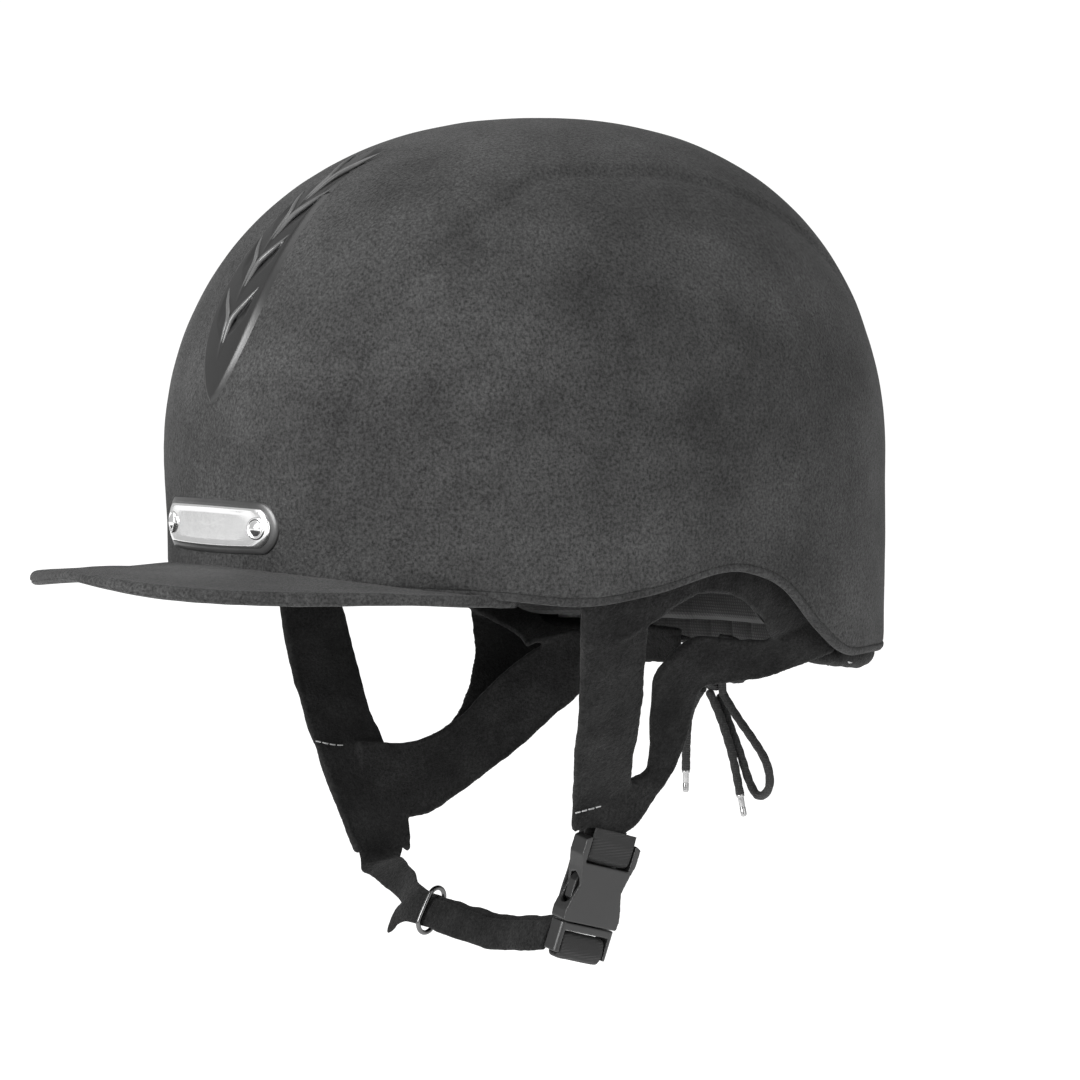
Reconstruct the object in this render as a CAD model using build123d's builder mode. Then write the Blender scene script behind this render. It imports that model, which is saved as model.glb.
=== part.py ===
"""Equestrian riding helmet, in millimetres.

+Z is up, the wearer's front is -Y and the wearer's left is +X. The origin is at the centre of the
head opening, level with the side rim. The harness hangs below it.
"""

import math
import os

from build123d import *

os.makedirs("parts", exist_ok=True)

# Outer surface of the shell: an egg in plan, straight sides, then a rounded dome.
SHELL_FRONT = 145.8
SHELL_BACK = 132.0
SHELL_HALF_WIDTH = 113.9
SHELL_TOP = 172.0
SIDE_TOP = 49.0
PLAN_POWER = 2.2
DOME_POWER_UP = 2.05
DOME_POWER_IN = 2.26
DOME_FLOOR = -46.0

# Layers, as distances inward from the outer surface.
COVER_INNER = 1.2
SHELL_INNER = 4.0
LINER_OUTER = 4.3
LINER_INNER = 27.0
PAD_OUTER = 27.3
HEADBAND_INNER = 34.0
CROWN_PAD_INNER = 33.0

# Side view of the shell's lower edge, as (y, z): it arches over the ear and drops at the nape.
RIM_LINE = [
    (-165, 7.0),
    (-94, 2.0),
    (-62, 0.5),
    (-36, 4.2),
    (8, 10.7),
    (26, 4.0),
    (44, -11.0),
    (60, -20.6),
    (85, -23.0),
    (150, -24.0),
]
TRIM_HEIGHT = 3.0
LINER_SETBACK = 13.0
LINER_JOINT = 0.3
HEADBAND_SETBACK = 4.0
HEADBAND_TOP = 46.0

# Peak: an ellipse in plan, arched from side to side.
PEAK_CENTRE_Y = -94.0
PEAK_LENGTH = 110.0
PEAK_HALF_WIDTH = 93.0
PEAK_TOP_Z = 11.4
PEAK_ARCH_RADIUS = 560.0
PEAK_THICKNESS = 5.4
PEAK_CORE_THICKNESS = 3.6
PEAK_CORE_INSET = 1.6

# Vent strip on the front centre line, as seen from the front.
VENT_BOTTOM_Z = 66.0
VENT_TOP_Z = 160.0
VENT_HALF_WIDTH = 17.0
VENT_RAISE = 2.6
VENT_SLOT = (12.0, VENT_BOTTOM_Z + 8.0, VENT_TOP_Z - 4.0)
VENT_MESH_OUTLINE = [(0, 80), (7, 87), (9.6, 98), (10, 112), (8.6, 128), (6, 142), (4, 149), (0, 150)]
VENT_ROW_Z = (97.0, 116.0, 132.0, 146.0)
VENT_HOLE_X = 6.2
VENT_HOLE_LENGTH = 6.6
VENT_HOLE_WIDTH = 2.4
VENT_HOLE_TURN = 28.0

# Badge on the front, above the peak.
BADGE_Z = 25.5
GASKET_WIDTH = 72.0
GASKET_HEIGHT = 19.0
PLATE_WIDTH = 66.0
PLATE_HEIGHT = 15.0
BADGE_RIVET_X = 27.5

# Harness webbing and padded panels.
PANEL_THICKNESS = 2.6
WEBBING_THICKNESS = 1.6
WEBBING_WIDTH = 19.0

# Side-release buckle, built upright at its parting line and then placed on the left strap.
BUCKLE_ORIGIN = (62.0, -28.0, -120.0)
BUCKLE_LEAN_FORWARD = 15.0
BUCKLE_LEAN_IN = 8.0
SOCKET_LENGTH = 32.0
SOCKET_WIDTH = 25.0
SOCKET_THICKNESS = 8.4
SOCKET_WALL = 1.5
PLUG_BASE_LENGTH = 11.5
PRONG_LENGTH = 20.0
PRONG_DEPTH = 4.2
PRONG_ROOT_Y = 7.3
PRONG_ROOT_Z = 1.3
PRONG_ROOT_RADIUS = 1.2

# Lacing at the nape.
LACE_DIAMETER = 3.4
AGLET_DIAMETER = 2.4


def rounded(value, power):
    """A signed power, for the superellipse."""
    return math.copysign(abs(value) ** power, value)


def dome_scale(z, top):
    """How far the plan has closed in at height z."""
    rise = max(0.0, (z - SIDE_TOP) / (top - SIDE_TOP))
    return (1.0 - rise**DOME_POWER_UP) ** (1.0 / DOME_POWER_IN)


def plan_points(inset, scale, count=32):
    """Points round the egg-shaped plan, `inset` inside the outer surface."""
    points = []
    for step in range(count):
        turn = 2.0 * math.pi * step / count
        across = rounded(math.sin(turn), 2.0 / PLAN_POWER)
        along = rounded(math.cos(turn), 2.0 / PLAN_POWER)
        reach = SHELL_FRONT if along > 0 else SHELL_BACK
        points.append(((SHELL_HALF_WIDTH - inset) * scale * across, -(reach - inset) * scale * along))
    return points


def dome(inset):
    """A closed solid of the whole head form, `inset` inside the outer surface."""
    top = SHELL_TOP - inset
    dome_angles = (12, 25, 38, 50, 61, 71, 79, 84.5)
    levels = [DOME_FLOOR, -12.0, 22.0, SIDE_TOP]
    levels += [SIDE_TOP + (top - SIDE_TOP) * math.sin(math.radians(angle)) for angle in dome_angles]
    levels.append(top - 0.25)
    with BuildPart() as solid:
        for z in levels:
            with BuildSketch(Plane.XY.offset(z)):
                with BuildLine():
                    Spline(*plan_points(inset, dome_scale(z, top)), periodic=True)
                make_face()
        loft()
    return solid.part


def rim_block(raise_by, low=-120.0):
    """Everything below the rim line, the line raised by `raise_by`."""
    with BuildPart() as solid:
        with BuildSketch(Plane.YZ):
            with BuildLine():
                edge = Spline(*[(y, z + raise_by) for y, z in RIM_LINE])
                Polyline(edge @ 1, (150, low), (-165, low), edge @ 0)
            make_face()
        extrude(amount=150, both=True)
    return solid.part


def vent_prism(half_width, bottom_z, top_z):
    """A leaf seen from the front: a pointed lower end, and a long taper to a round upper one."""
    height = top_z - bottom_z
    with BuildPart() as solid:
        with BuildSketch(Plane.XZ):
            with BuildLine():
                Spline(
                    (0, bottom_z),
                    (half_width * 0.66, bottom_z + 0.1 * height),
                    (half_width, bottom_z + 0.34 * height),
                    (half_width * 0.86, bottom_z + 0.66 * height),
                    (half_width * 0.5, bottom_z + 0.92 * height),
                    (0, top_z),
                    tangents=[(1, 0.5), (-1, 0)],
                )
                mirror(about=Plane.YZ)
            make_face()
        extrude(amount=200)
    return solid.part


def band(stations, thickness):
    """A strip of webbing through stations, each the two edge points of the strip."""
    sections = []
    count = len(stations)
    for index, (first, second) in enumerate(stations):
        middle = (Vector(*first) + Vector(*second)) * 0.5
        before, after = stations[max(index - 1, 0)], stations[min(index + 1, count - 1)]
        start = (Vector(*before[0]) + Vector(*before[1])) * 0.5
        end = (Vector(*after[0]) + Vector(*after[1])) * 0.5
        across = Vector(*second) - Vector(*first)
        along = end - start
        along = along - across * (along.dot(across) / across.dot(across))
        sections.append((Plane(origin=middle, x_dir=across, z_dir=along), across.length))
    with BuildPart() as solid:
        for place, width in sections:
            with BuildSketch(place):
                Rectangle(width, thickness)
        loft(ruled=True)
    return solid.part


def tube(route, radii, diameter):
    """A cord through a route whose corners are rounded to the radii."""
    with BuildPart() as solid:
        with BuildLine() as line:
            FilletPolyline(*route, radius=radii)
        with BuildSketch(Plane(origin=line.line @ 0, z_dir=line.line % 0)):
            Circle(diameter / 2.0)
        sweep(path=line.line)
    return solid.part


def corner_radii(route, diameter):
    """A bend radius for each corner, 0.45 of the shorter run over the half-turn's tangent."""
    radii = []
    for before, corner, after in zip(route, route[1:], route[2:]):
        run_in = Vector(*corner) - Vector(*before)
        run_out = Vector(*after) - Vector(*corner)
        turn = math.radians(run_in.get_angle(run_out))
        radii.append(0.45 * min(run_in.length, run_out.length) / math.tan(turn / 2.0))
    print("cord bends, mm:", [round(radius, 1) for radius in radii])
    return radii


def finish(holder, name):
    """Label a finished piece and write it."""
    holder.part.label = name
    export_step(holder.part, f"parts/{name}.step")


# ---- Shell, cover, liner and trims ----
outer_form = dome(0.0)
cover_inner_form = dome(COVER_INNER)
shell_inner_form = dome(SHELL_INNER)
liner_outer_form = dome(LINER_OUTER)
liner_inner_form = dome(LINER_INNER)
pad_outer_form = dome(PAD_OUTER)
headband_inner_form = dome(HEADBAND_INNER)
below_rim = rim_block(0.0)
below_trim = rim_block(TRIM_HEIGHT)
vent_slot = vent_prism(*VENT_SLOT)

with BuildPart() as shell_cover:
    add(outer_form)
    add(cover_inner_form, mode=Mode.SUBTRACT)
    add(below_trim, mode=Mode.SUBTRACT)
    add(vent_slot, mode=Mode.SUBTRACT)
finish(shell_cover, "shell_cover")

with BuildPart() as outer_shell:
    add(cover_inner_form)
    add(shell_inner_form, mode=Mode.SUBTRACT)
    add(below_trim, mode=Mode.SUBTRACT)
    add(vent_slot, mode=Mode.SUBTRACT)
finish(outer_shell, "outer_shell")

with BuildPart() as rim_trim:
    add(outer_form)
    add(shell_inner_form, mode=Mode.SUBTRACT)
    add(below_rim, mode=Mode.SUBTRACT)
    add(below_trim, mode=Mode.INTERSECT)
finish(rim_trim, "rim_trim")

with BuildPart() as eps_liner:
    add(liner_outer_form)
    add(liner_inner_form, mode=Mode.SUBTRACT)
    add(rim_block(LINER_SETBACK), mode=Mode.SUBTRACT)
    # four foam blocks, parted on the two centre planes
    Box(LINER_JOINT, 400, 400, mode=Mode.SUBTRACT)
    Box(400, LINER_JOINT, 400, mode=Mode.SUBTRACT)
finish(eps_liner, "eps_liner")

with BuildPart() as headband:
    add(pad_outer_form)
    add(headband_inner_form, mode=Mode.SUBTRACT)
    add(rim_block(HEADBAND_SETBACK), mode=Mode.SUBTRACT)
    with BuildSketch(Plane.XY.offset(HEADBAND_TOP)):
        Rectangle(400, 400)
    extrude(amount=200, mode=Mode.SUBTRACT)
finish(headband, "headband")

with BuildPart() as crown_pad:
    add(pad_outer_form)
    add(dome(CROWN_PAD_INNER), mode=Mode.SUBTRACT)
    with BuildSketch():
        SlotOverall(120, 74, rotation=90)
    extrude(amount=200, mode=Mode.INTERSECT)
    with BuildSketch():
        Rectangle(400, 400)
    extrude(amount=90, mode=Mode.SUBTRACT)
finish(crown_pad, "crown_pad")

# The padded roll and the ribbed lining both follow the rear of the rim, from ear to ear.
with BuildPart() as nape_roll:
    add(dome(6.0))
    add(dome(17.0), mode=Mode.SUBTRACT)
    with BuildSketch(Plane.XY.offset(-24.6)):
        with Locations((0, 140)):
            Rectangle(400, 150)
    extrude(amount=-9.0, mode=Mode.INTERSECT)
finish(nape_roll, "nape_roll")

with BuildPart() as nape_lining:
    add(dome(17.6))
    add(dome(21.6), mode=Mode.SUBTRACT)
    with BuildSketch(Plane.XY.offset(-31.0)):
        with Locations((0, 142)):
            Rectangle(400, 150)
    extrude(amount=19.0, mode=Mode.INTERSECT)
finish(nape_lining, "nape_lining")

# ---- Peak ----
def peak_band(top_z, thickness, inset):
    """The arched board, cut to the peak's outline and to the shell."""
    with BuildPart() as solid:
        with BuildSketch(Plane.XZ):
            with Locations((0, top_z - PEAK_ARCH_RADIUS)):
                Circle(PEAK_ARCH_RADIUS)
                Circle(PEAK_ARCH_RADIUS - thickness, mode=Mode.SUBTRACT)
            with Locations((0, -80)):
                Rectangle(300, 200, mode=Mode.INTERSECT, align=(Align.CENTER, Align.MIN))
        extrude(amount=240)
        with BuildSketch(Plane.XY.offset(-60)):
            with Locations((0, PEAK_CENTRE_Y)):
                Ellipse(PEAK_HALF_WIDTH - inset, PEAK_LENGTH - inset)
        extrude(amount=120, mode=Mode.INTERSECT)
        add(outer_form, mode=Mode.SUBTRACT)
    return solid.part


core_drop = (PEAK_THICKNESS - PEAK_CORE_THICKNESS) / 2.0

with BuildPart() as peak_core:
    add(peak_band(PEAK_TOP_Z - core_drop, PEAK_CORE_THICKNESS, PEAK_CORE_INSET))
finish(peak_core, "peak_core")

with BuildPart() as peak_cover:
    add(peak_band(PEAK_TOP_Z, PEAK_THICKNESS, 0.0))
    add(peak_core.part, mode=Mode.SUBTRACT)
finish(peak_cover, "peak_cover")

# ---- Vent strip and mesh ----
raised_form = dome(-VENT_RAISE)

with BuildPart() as vent_strip:
    add(raised_form)
    add(outer_form, mode=Mode.SUBTRACT)
    add(vent_prism(VENT_HALF_WIDTH, VENT_BOTTOM_Z, VENT_TOP_Z), mode=Mode.INTERSECT)
    with BuildSketch(Plane.XZ):
        for row_z in VENT_ROW_Z:
            for side in (-1, 1):
                with Locations((side * VENT_HOLE_X, row_z + 1.5)):
                    SlotOverall(VENT_HOLE_LENGTH, VENT_HOLE_WIDTH, rotation=side * VENT_HOLE_TURN)
    extrude(amount=200, mode=Mode.SUBTRACT)
finish(vent_strip, "vent_strip")

with BuildPart() as vent_mesh:
    with BuildSketch(Plane.XZ):
        with BuildLine():
            Polyline(*VENT_MESH_OUTLINE)
            mirror(about=Plane.YZ)
        make_face()
    extrude(amount=200)
    add(cover_inner_form, mode=Mode.INTERSECT)
    add(dome(COVER_INNER + 0.8), mode=Mode.SUBTRACT)
    add(outer_shell.part, mode=Mode.SUBTRACT)
finish(vent_mesh, "vent_mesh")


# ---- Badge ----
def badge_layer(width, height, low, high):
    """An oval plate that follows the shell, between two distances above it."""
    with BuildPart() as solid:
        with BuildSketch(Plane.XZ):
            with Locations((0, BADGE_Z)):
                SlotOverall(width, height)
        extrude(amount=200)
        add(dome(-high), mode=Mode.INTERSECT)
        add(dome(-low), mode=Mode.SUBTRACT)
    return solid.part


rivet_reach = SHELL_FRONT * (1.0 - (BADGE_RIVET_X / SHELL_HALF_WIDTH) ** PLAN_POWER) ** (1.0 / PLAN_POWER)

with BuildPart() as badge_gasket:
    add(badge_layer(GASKET_WIDTH, GASKET_HEIGHT, 0.0, 1.2))
finish(badge_gasket, "badge_gasket")

with BuildPart() as badge_plate:
    add(badge_layer(PLATE_WIDTH, PLATE_HEIGHT, 1.2, 2.6))
finish(badge_plate, "badge_plate")

with BuildPart() as badge_rivets:
    for side in (-1, 1):
        with BuildSketch(Plane.XZ.offset(rivet_reach + 2.4)):
            with Locations((side * BADGE_RIVET_X, BADGE_Z)):
                Circle(4.0)
        extrude(amount=2.1)
    fillet(badge_rivets.edges().group_by(Axis.Y)[0], 0.9)
    add(badge_plate.part, mode=Mode.SUBTRACT)
finish(badge_rivets, "badge_rivets")

# ---- Harness panels: each is a front strap, an arm that runs back to the nape, and a band that
# follows the ear arch and carries the arm's rear corner. Stations are edge points, front then rear
# or upper then lower. ----
LEFT_STRAP = [
    ((100.9, -57, 12), (105.2, -31, 12)),
    ((100.2, -57, 0), (103.4, -31, 0)),
    ((90.0, -50, -35), (91.0, -24, -35)),
    ((79.0, -44, -56), (79.0, -19, -56)),
    ((70.0, -38, -72), (69.0, -14, -72)),
    ((66.5, -36, -84), (66.0, -13, -86)),
]
LEFT_ARM = [
    ((70.0, -20, -64), (70.0, -20, -84)),
    ((70.5, -6, -60), (71.0, -2, -78)),
    ((70.0, 2, -50), (72.0, 14, -60)),
    ((67.0, 8, -38), (69.0, 22, -46)),
    ((62.0, 28, -27), (64.0, 34, -40)),
    ((54.0, 50, -24), (54.0, 54, -37)),
    ((36.0, 66, -23), (36.0, 69, -36)),
    ((13.0, 75, -23), (13.0, 77, -36)),
]
RIGHT_STRAP = [
    ((-100.9, -57, 12), (-105.4, -29, 12)),
    ((-100.2, -56, 0), (-103.6, -28, 0)),
    ((-93.0, -55, -30), (-94.0, -25, -30)),
    ((-84.0, -54, -53), (-84.0, -24, -53)),
    ((-76.0, -51, -72), (-76.0, -20, -72)),
    ((-69.0, -46, -94), (-69.0, -16, -96)),
    ((-66.2, -41.8, -106), (-66.0, -17, -107.5)),
]
RIGHT_ARM = [
    ((-75.0, -34, -66), (-71.0, -34, -92)),
    ((-73.0, -8, -67), (-70.0, -12, -96)),
    ((-74.0, 12, -60), (-72.0, 10, -89)),
    ((-74.0, 30, -46), (-72.0, 36, -75)),
    ((-69.0, 48, -33), (-67.0, 58, -58)),
    ((-57.0, 62, -26), (-55.0, 68, -44)),
    ((-36.0, 69, -23), (-36.0, 72, -37)),
    ((-13.0, 75, -23), (-13.0, 77, -36)),
]


def arch_stations(side, arm):
    """The band under the ear arch, then its rear corner running in to meet the arm."""
    corner_top, corner_low = arm[4][0], arm[5][0]
    return [
        ((side * 103.4, -44, 13), (side * 99.5, -40, -14)),
        ((side * 104.6, -32, 14), (side * 100.8, -30, -9)),
        ((side * 105.8, -14, 17), (side * 103.6, -12, 1)),
        ((side * 106.2, 8, 18.5), (side * 104.2, 6, 1)),
        ((side * 105.2, 24, 13), (side * 101.6, 22, -8)),
        ((side * 100.0, 48, -6), (side * 95.6, 32, -17)),
        ((side * 90.0, 58, -17), (side * 86.0, 42, -24)),
        (
            ((corner_top[0] + corner_low[0]) / 2 + side * 10, 58, -24),
            (corner_top[0] + side * 8, 44, -28),
        ),
        ((corner_low[0], corner_low[1] + 2, -26), (corner_top[0], 42, -31)),
    ]


def harness_panel(side, strap, arm, name):
    """One padded side of the harness."""
    with BuildPart() as panel:
        add(band(strap, PANEL_THICKNESS))
        add(band(arm, PANEL_THICKNESS))
        add(band(arch_stations(side, arm), PANEL_THICKNESS))
    finish(panel, name)
    return panel


harness_panel_left = harness_panel(1, LEFT_STRAP, LEFT_ARM, "harness_panel_left")
harness_panel_right = harness_panel(-1, RIGHT_STRAP, RIGHT_ARM, "harness_panel_right")

# ---- Anchors: a washer inside each strap's top, and a rivet through it ----
ANCHORS = [(99.2, -44, 7.0, 0), (-99.2, -43, 7.0, 180), (103.6, 8, 14.0, 0), (-103.6, 8, 14.0, 180)]

with BuildPart() as anchor_washers:
    for x, y, z, facing in ANCHORS:
        inward = (-math.cos(math.radians(facing)), 0, 0)
        with BuildSketch(Plane(origin=(x, y, z), z_dir=inward)):
            Circle(6.0)
            Circle(2.3, mode=Mode.SUBTRACT)
        extrude(amount=0.9)
finish(anchor_washers, "anchor_washers")

with BuildPart() as anchor_rivets:
    for x, y, z, facing in ANCHORS:
        inward = (-math.cos(math.radians(facing)), 0, 0)
        with BuildSketch(Plane(origin=(x, y, z), z_dir=inward).offset(1.0)):
            Circle(4.0)
        extrude(amount=1.2)
        with BuildSketch(Plane(origin=(x, y, z), z_dir=inward).offset(0.1)):
            Circle(2.1)
        extrude(amount=1.0)
finish(anchor_rivets, "anchor_rivets")

# ---- Eyelets and lacing at the nape ----
EYELET_X = 17.5
EYELET_Y = 74.6
EYELET_Z = (-26.5, -33.0)
EYELET_TURN = 20.0


def eyelets(side, name):
    """Two rings through one arm's end, which stands a little turned towards the nape."""
    turned = math.radians(EYELET_TURN)
    outward = (side * math.sin(turned), math.cos(turned), 0.12)
    with BuildPart() as rings:
        for z in EYELET_Z:
            centre = Vector(side * EYELET_X, EYELET_Y - 0.12 * (z + 30), z)
            with BuildSketch(Plane(origin=centre, z_dir=outward).offset(PANEL_THICKNESS / 2 + 0.9)):
                Circle(2.6)
                Circle(1.5, mode=Mode.SUBTRACT)
            extrude(amount=0.7)
    finish(rings, name)


eyelets(1, "eyelets_left")
eyelets(-1, "eyelets_right")

with BuildPart() as nape_lacing:
    for low, high in (EYELET_Z, EYELET_Z[::-1]):
        lift = 0.0 if low < high else 2.6
        ends = [
            (-EYELET_X + 1, 79.6 + lift, low),
            (0, 82.0 + lift, (low + high) / 2),
            (EYELET_X - 1, 79.6 + lift, high),
        ]
        with BuildLine() as crossing:
            ThreePointArc(*ends)
        with BuildSketch(Plane(origin=crossing.line @ 0, z_dir=crossing.line % 0)):
            Circle(1.1)
        sweep(path=crossing.line)
finish(nape_lacing, "nape_lacing")

with BuildPart() as lace_knot:
    with Locations((0, 82.5, -42.0)):
        Sphere(4.6)
    scale(by=(1.35, 1.0, 1.0))
finish(lace_knot, "lace_knot")

# Each free part of the lace is a cord with its real length, hanging under its own weight.
LACE_LOOP = [
    (4.0, 84.0, -47.5),
    (8.5, 86.0, -55.0),
    (17.0, 88.0, -64.0),
    (25.5, 89.0, -73.0),
    (27.0, 89.5, -83.0),
    (19.5, 89.5, -88.0),
    (13.5, 89.5, -82.0),
    (9.5, 88.5, -71.0),
    (4.5, 87.0, -60.0),
    (1.0, 85.0, -49.5),
]
LACE_END_LEFT = [
    (1.0, 80.0, -47.5),
    (3.5, 82.5, -55.0),
    (7.5, 84.0, -66.0),
    (10.5, 84.8, -75.0),
    (13.5, 85.0, -86.0),
]
LACE_END_RIGHT = [
    (-4.5, 79.5, -47.2),
    (-8.0, 77.5, -53.0),
    (-9.5, 76.5, -63.0),
    (-9.0, 76.0, -78.0),
]


def lace(route, diameter, name):
    """One free length of the lace."""
    with BuildPart() as cord:
        add(tube(route, corner_radii(route, diameter), diameter))
    finish(cord, name)


lace(LACE_LOOP, LACE_DIAMETER, "lace_loop")
lace(LACE_END_LEFT, LACE_DIAMETER, "lace_end_left")
lace(LACE_END_RIGHT, LACE_DIAMETER, "lace_end_right")


def aglet(route, name):
    """The metal tip on the end of a lace, a little narrower than it."""
    direction = (Vector(*route[-1]) - Vector(*route[-2])).normalized()
    with BuildPart() as tip:
        with BuildSketch(Plane(origin=Vector(*route[-1]) + direction * 0.1, z_dir=direction)):
            Circle(AGLET_DIAMETER / 2.0)
        extrude(amount=9.0)
    finish(tip, name)


aglet(LACE_END_LEFT, "aglet_left")
aglet(LACE_END_RIGHT, "aglet_right")

# ---- Buckle, built upright: X is its thickness, Y its width, Z along the strap ----
BUCKLE_PLACE = Location(BUCKLE_ORIGIN, (BUCKLE_LEAN_FORWARD * -1.0, BUCKLE_LEAN_IN, 0))
CAVITY_WIDTH = SOCKET_WIDTH - 2 * SOCKET_WALL
CAVITY_THICKNESS = SOCKET_THICKNESS - 2 * SOCKET_WALL
CAVITY_LENGTH = 20.8
WINDOW_LOW = 6.6
WINDOW_HIGH = 18.0
SLOT_LOW = 22.4
BAR_LOW = 25.4
BAR_HIGH = 28.4
BAR_SPAN = 20.0
BAR_DEPTH = 4.0
PLUG_SLOT_HIGH = -3.0
PLUG_BAR_HIGH = -8.2


def place_on_strap(holder, name):
    """Move a buckle piece from its upright place to the left strap."""
    with BuildPart() as placed:
        with Locations(BUCKLE_PLACE):
            add(holder.part)
    finish(placed, name)


with BuildPart() as socket_upright:
    with BuildSketch(Plane.YZ.offset(-SOCKET_THICKNESS / 2)):
        with BuildLine():
            Polyline(
                (0, 0.3),
                (12.2, 0.3),
                (12.5, 4.0),
                (11.2, 9.0),
                (9.6, 14.0),
                (11.0, 20.0),
                (12.5, 25.0),
                (12.5, 31.0),
                (10.5, SOCKET_LENGTH),
                (0, SOCKET_LENGTH),
            )
            mirror(about=Plane.YZ)
        make_face()
    extrude(amount=SOCKET_THICKNESS)
    fillet(socket_upright.edges().filter_by(Axis.X), 0.8)
    # the mouth that takes the plug, open downwards
    with BuildSketch():
        Rectangle(CAVITY_THICKNESS, CAVITY_WIDTH - 1.6)
    extrude(amount=CAVITY_LENGTH, mode=Mode.SUBTRACT)
    # side windows for the prongs' pads
    with BuildSketch(Plane.XZ.offset(-20)):
        with Locations((0, (WINDOW_LOW + WINDOW_HIGH) / 2)):
            SlotOverall(WINDOW_HIGH - WINDOW_LOW, CAVITY_THICKNESS - 0.2, rotation=90)
    extrude(amount=40, mode=Mode.SUBTRACT)
    # slot for the hanger strap, with a thin bar above it between two horns
    with BuildSketch(Plane.YZ.offset(-SOCKET_THICKNESS)):
        with Locations((0, (SLOT_LOW + BAR_LOW) / 2)):
            Rectangle(BAR_SPAN, BAR_LOW - SLOT_LOW)
        with Locations((0, BAR_HIGH)):
            Rectangle(BAR_SPAN, 20.0, align=(Align.CENTER, Align.MIN))
    extrude(amount=2 * SOCKET_THICKNESS, mode=Mode.SUBTRACT)
    with BuildSketch(Plane.XY.offset(SLOT_LOW)):
        for side in (-1, 1):
            with Locations((side * (BAR_DEPTH / 2 + 5), 0)):
                Rectangle(10, BAR_SPAN)
    extrude(amount=BAR_HIGH - SLOT_LOW, mode=Mode.SUBTRACT)
place_on_strap(socket_upright, "buckle_socket")

with BuildPart() as plug_upright:
    with BuildSketch(Plane.XY.offset(-PLUG_BASE_LENGTH)):
        RectangleRounded(SOCKET_THICKNESS - 0.6, SOCKET_WIDTH - 1.0, 1.6)
    extrude(amount=PLUG_BASE_LENGTH - 0.1)
    # slot for the chin strap, with a thin bar below it
    with BuildSketch(Plane.YZ.offset(-SOCKET_THICKNESS)):
        with Locations((0, (PLUG_SLOT_HIGH + PLUG_BAR_HIGH) / 2)):
            Rectangle(BAR_SPAN, PLUG_SLOT_HIGH - PLUG_BAR_HIGH)
    extrude(amount=2 * SOCKET_THICKNESS, mode=Mode.SUBTRACT)
    with BuildSketch(Plane.XY.offset(-PLUG_BASE_LENGTH)):
        for side in (-1, 1):
            with Locations((side * (BAR_DEPTH / 2 + 5), 0)):
                Rectangle(10, BAR_SPAN)
    extrude(amount=PLUG_BASE_LENGTH + PLUG_BAR_HIGH, mode=Mode.SUBTRACT)
    # centre guide that runs up into the socket
    with BuildSketch(Plane.XY.offset(-0.5)):
        Rectangle(CAVITY_THICKNESS - 1.4, 5.0)
    extrude(amount=PRONG_LENGTH - 2.0)
place_on_strap(plug_upright, "buckle_plug")


def prong(side):
    """A springy arm with a pad that stands in the socket's side window."""
    with BuildPart() as arm:
        with BuildSketch(Plane.YZ.offset(-PRONG_DEPTH / 2)):
            with BuildLine():
                Polyline(
                    (side * 6.3, PRONG_ROOT_Z),
                    (side * 8.3, PRONG_ROOT_Z),
                    (side * 8.9, 7.4),
                    (side * 10.6, 8.6),
                    (side * 10.6, 15.0),
                    (side * 8.2, PRONG_LENGTH),
                    (side * 6.6, PRONG_LENGTH),
                    (side * 6.6, 8.0),
                    close=True,
                )
            make_face()
            # the round root that the arm bends about
            with Locations((side * PRONG_ROOT_Y, PRONG_ROOT_Z)):
                Circle(PRONG_ROOT_RADIUS)
        extrude(amount=PRONG_DEPTH)
    return arm


place_on_strap(prong(-1), "prong_front")
place_on_strap(prong(1), "prong_rear")


def buckle_point(x, y, z):
    """A point given in the buckle's upright frame, in the helmet's frame."""
    moved = BUCKLE_PLACE * Location((x, y, z))
    return tuple(moved.position)


# ---- Straps at the buckle, as side profiles (x, z) in its upright frame ----
def folded_strap(profile, hole, width, name):
    """A strap folded round a buckle bar: its outline, less the space it folds round."""
    with BuildPart() as upright:
        with BuildSketch(Plane.XZ):
            with BuildLine():
                Polyline(*profile, close=True)
            make_face()
            if hole:
                with BuildLine():
                    Polyline(*hole, close=True)
                make_face(mode=Mode.SUBTRACT)
        extrude(amount=width / 2, both=True)
    place_on_strap(upright, name)


def box_profile(half_depth, low, high):
    """A rectangle in the side profile."""
    return [(-half_depth, low), (half_depth, low), (half_depth, high), (-half_depth, high)]


HANGER_TOP = 35.4
hanger_inner = BAR_DEPTH / 2 + 0.3
hanger_outer = hanger_inner + WEBBING_THICKNESS
folded_strap(
    [
        (-hanger_outer, HANGER_TOP),
        (-hanger_outer, SLOT_LOW + 0.4),
        (hanger_outer, SLOT_LOW + 0.4),
        (hanger_outer, HANGER_TOP),
        (hanger_inner, HANGER_TOP),
        (hanger_inner, BAR_LOW - 0.4),
        (-hanger_inner, BAR_LOW - 0.4),
        (-hanger_inner, HANGER_TOP),
    ],
    None,
    WEBBING_WIDTH,
    "buckle_hanger",
)

folded_strap(
    [(-5.2, HANGER_TOP), (-5.2, 1.0), (-5.2 - WEBBING_THICKNESS, 1.0), (-5.2 - WEBBING_THICKNESS, HANGER_TOP)],
    None,
    WEBBING_WIDTH,
    "buckle_backing",
)

folded_strap(
    box_profile(hanger_outer + 0.3, -PLUG_BASE_LENGTH - 2.2, PLUG_SLOT_HIGH - 0.6),
    box_profile(hanger_inner, -PLUG_BASE_LENGTH - 0.4, PLUG_BAR_HIGH + 0.4),
    WEBBING_WIDTH,
    "plug_strap_fold",
)

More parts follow.
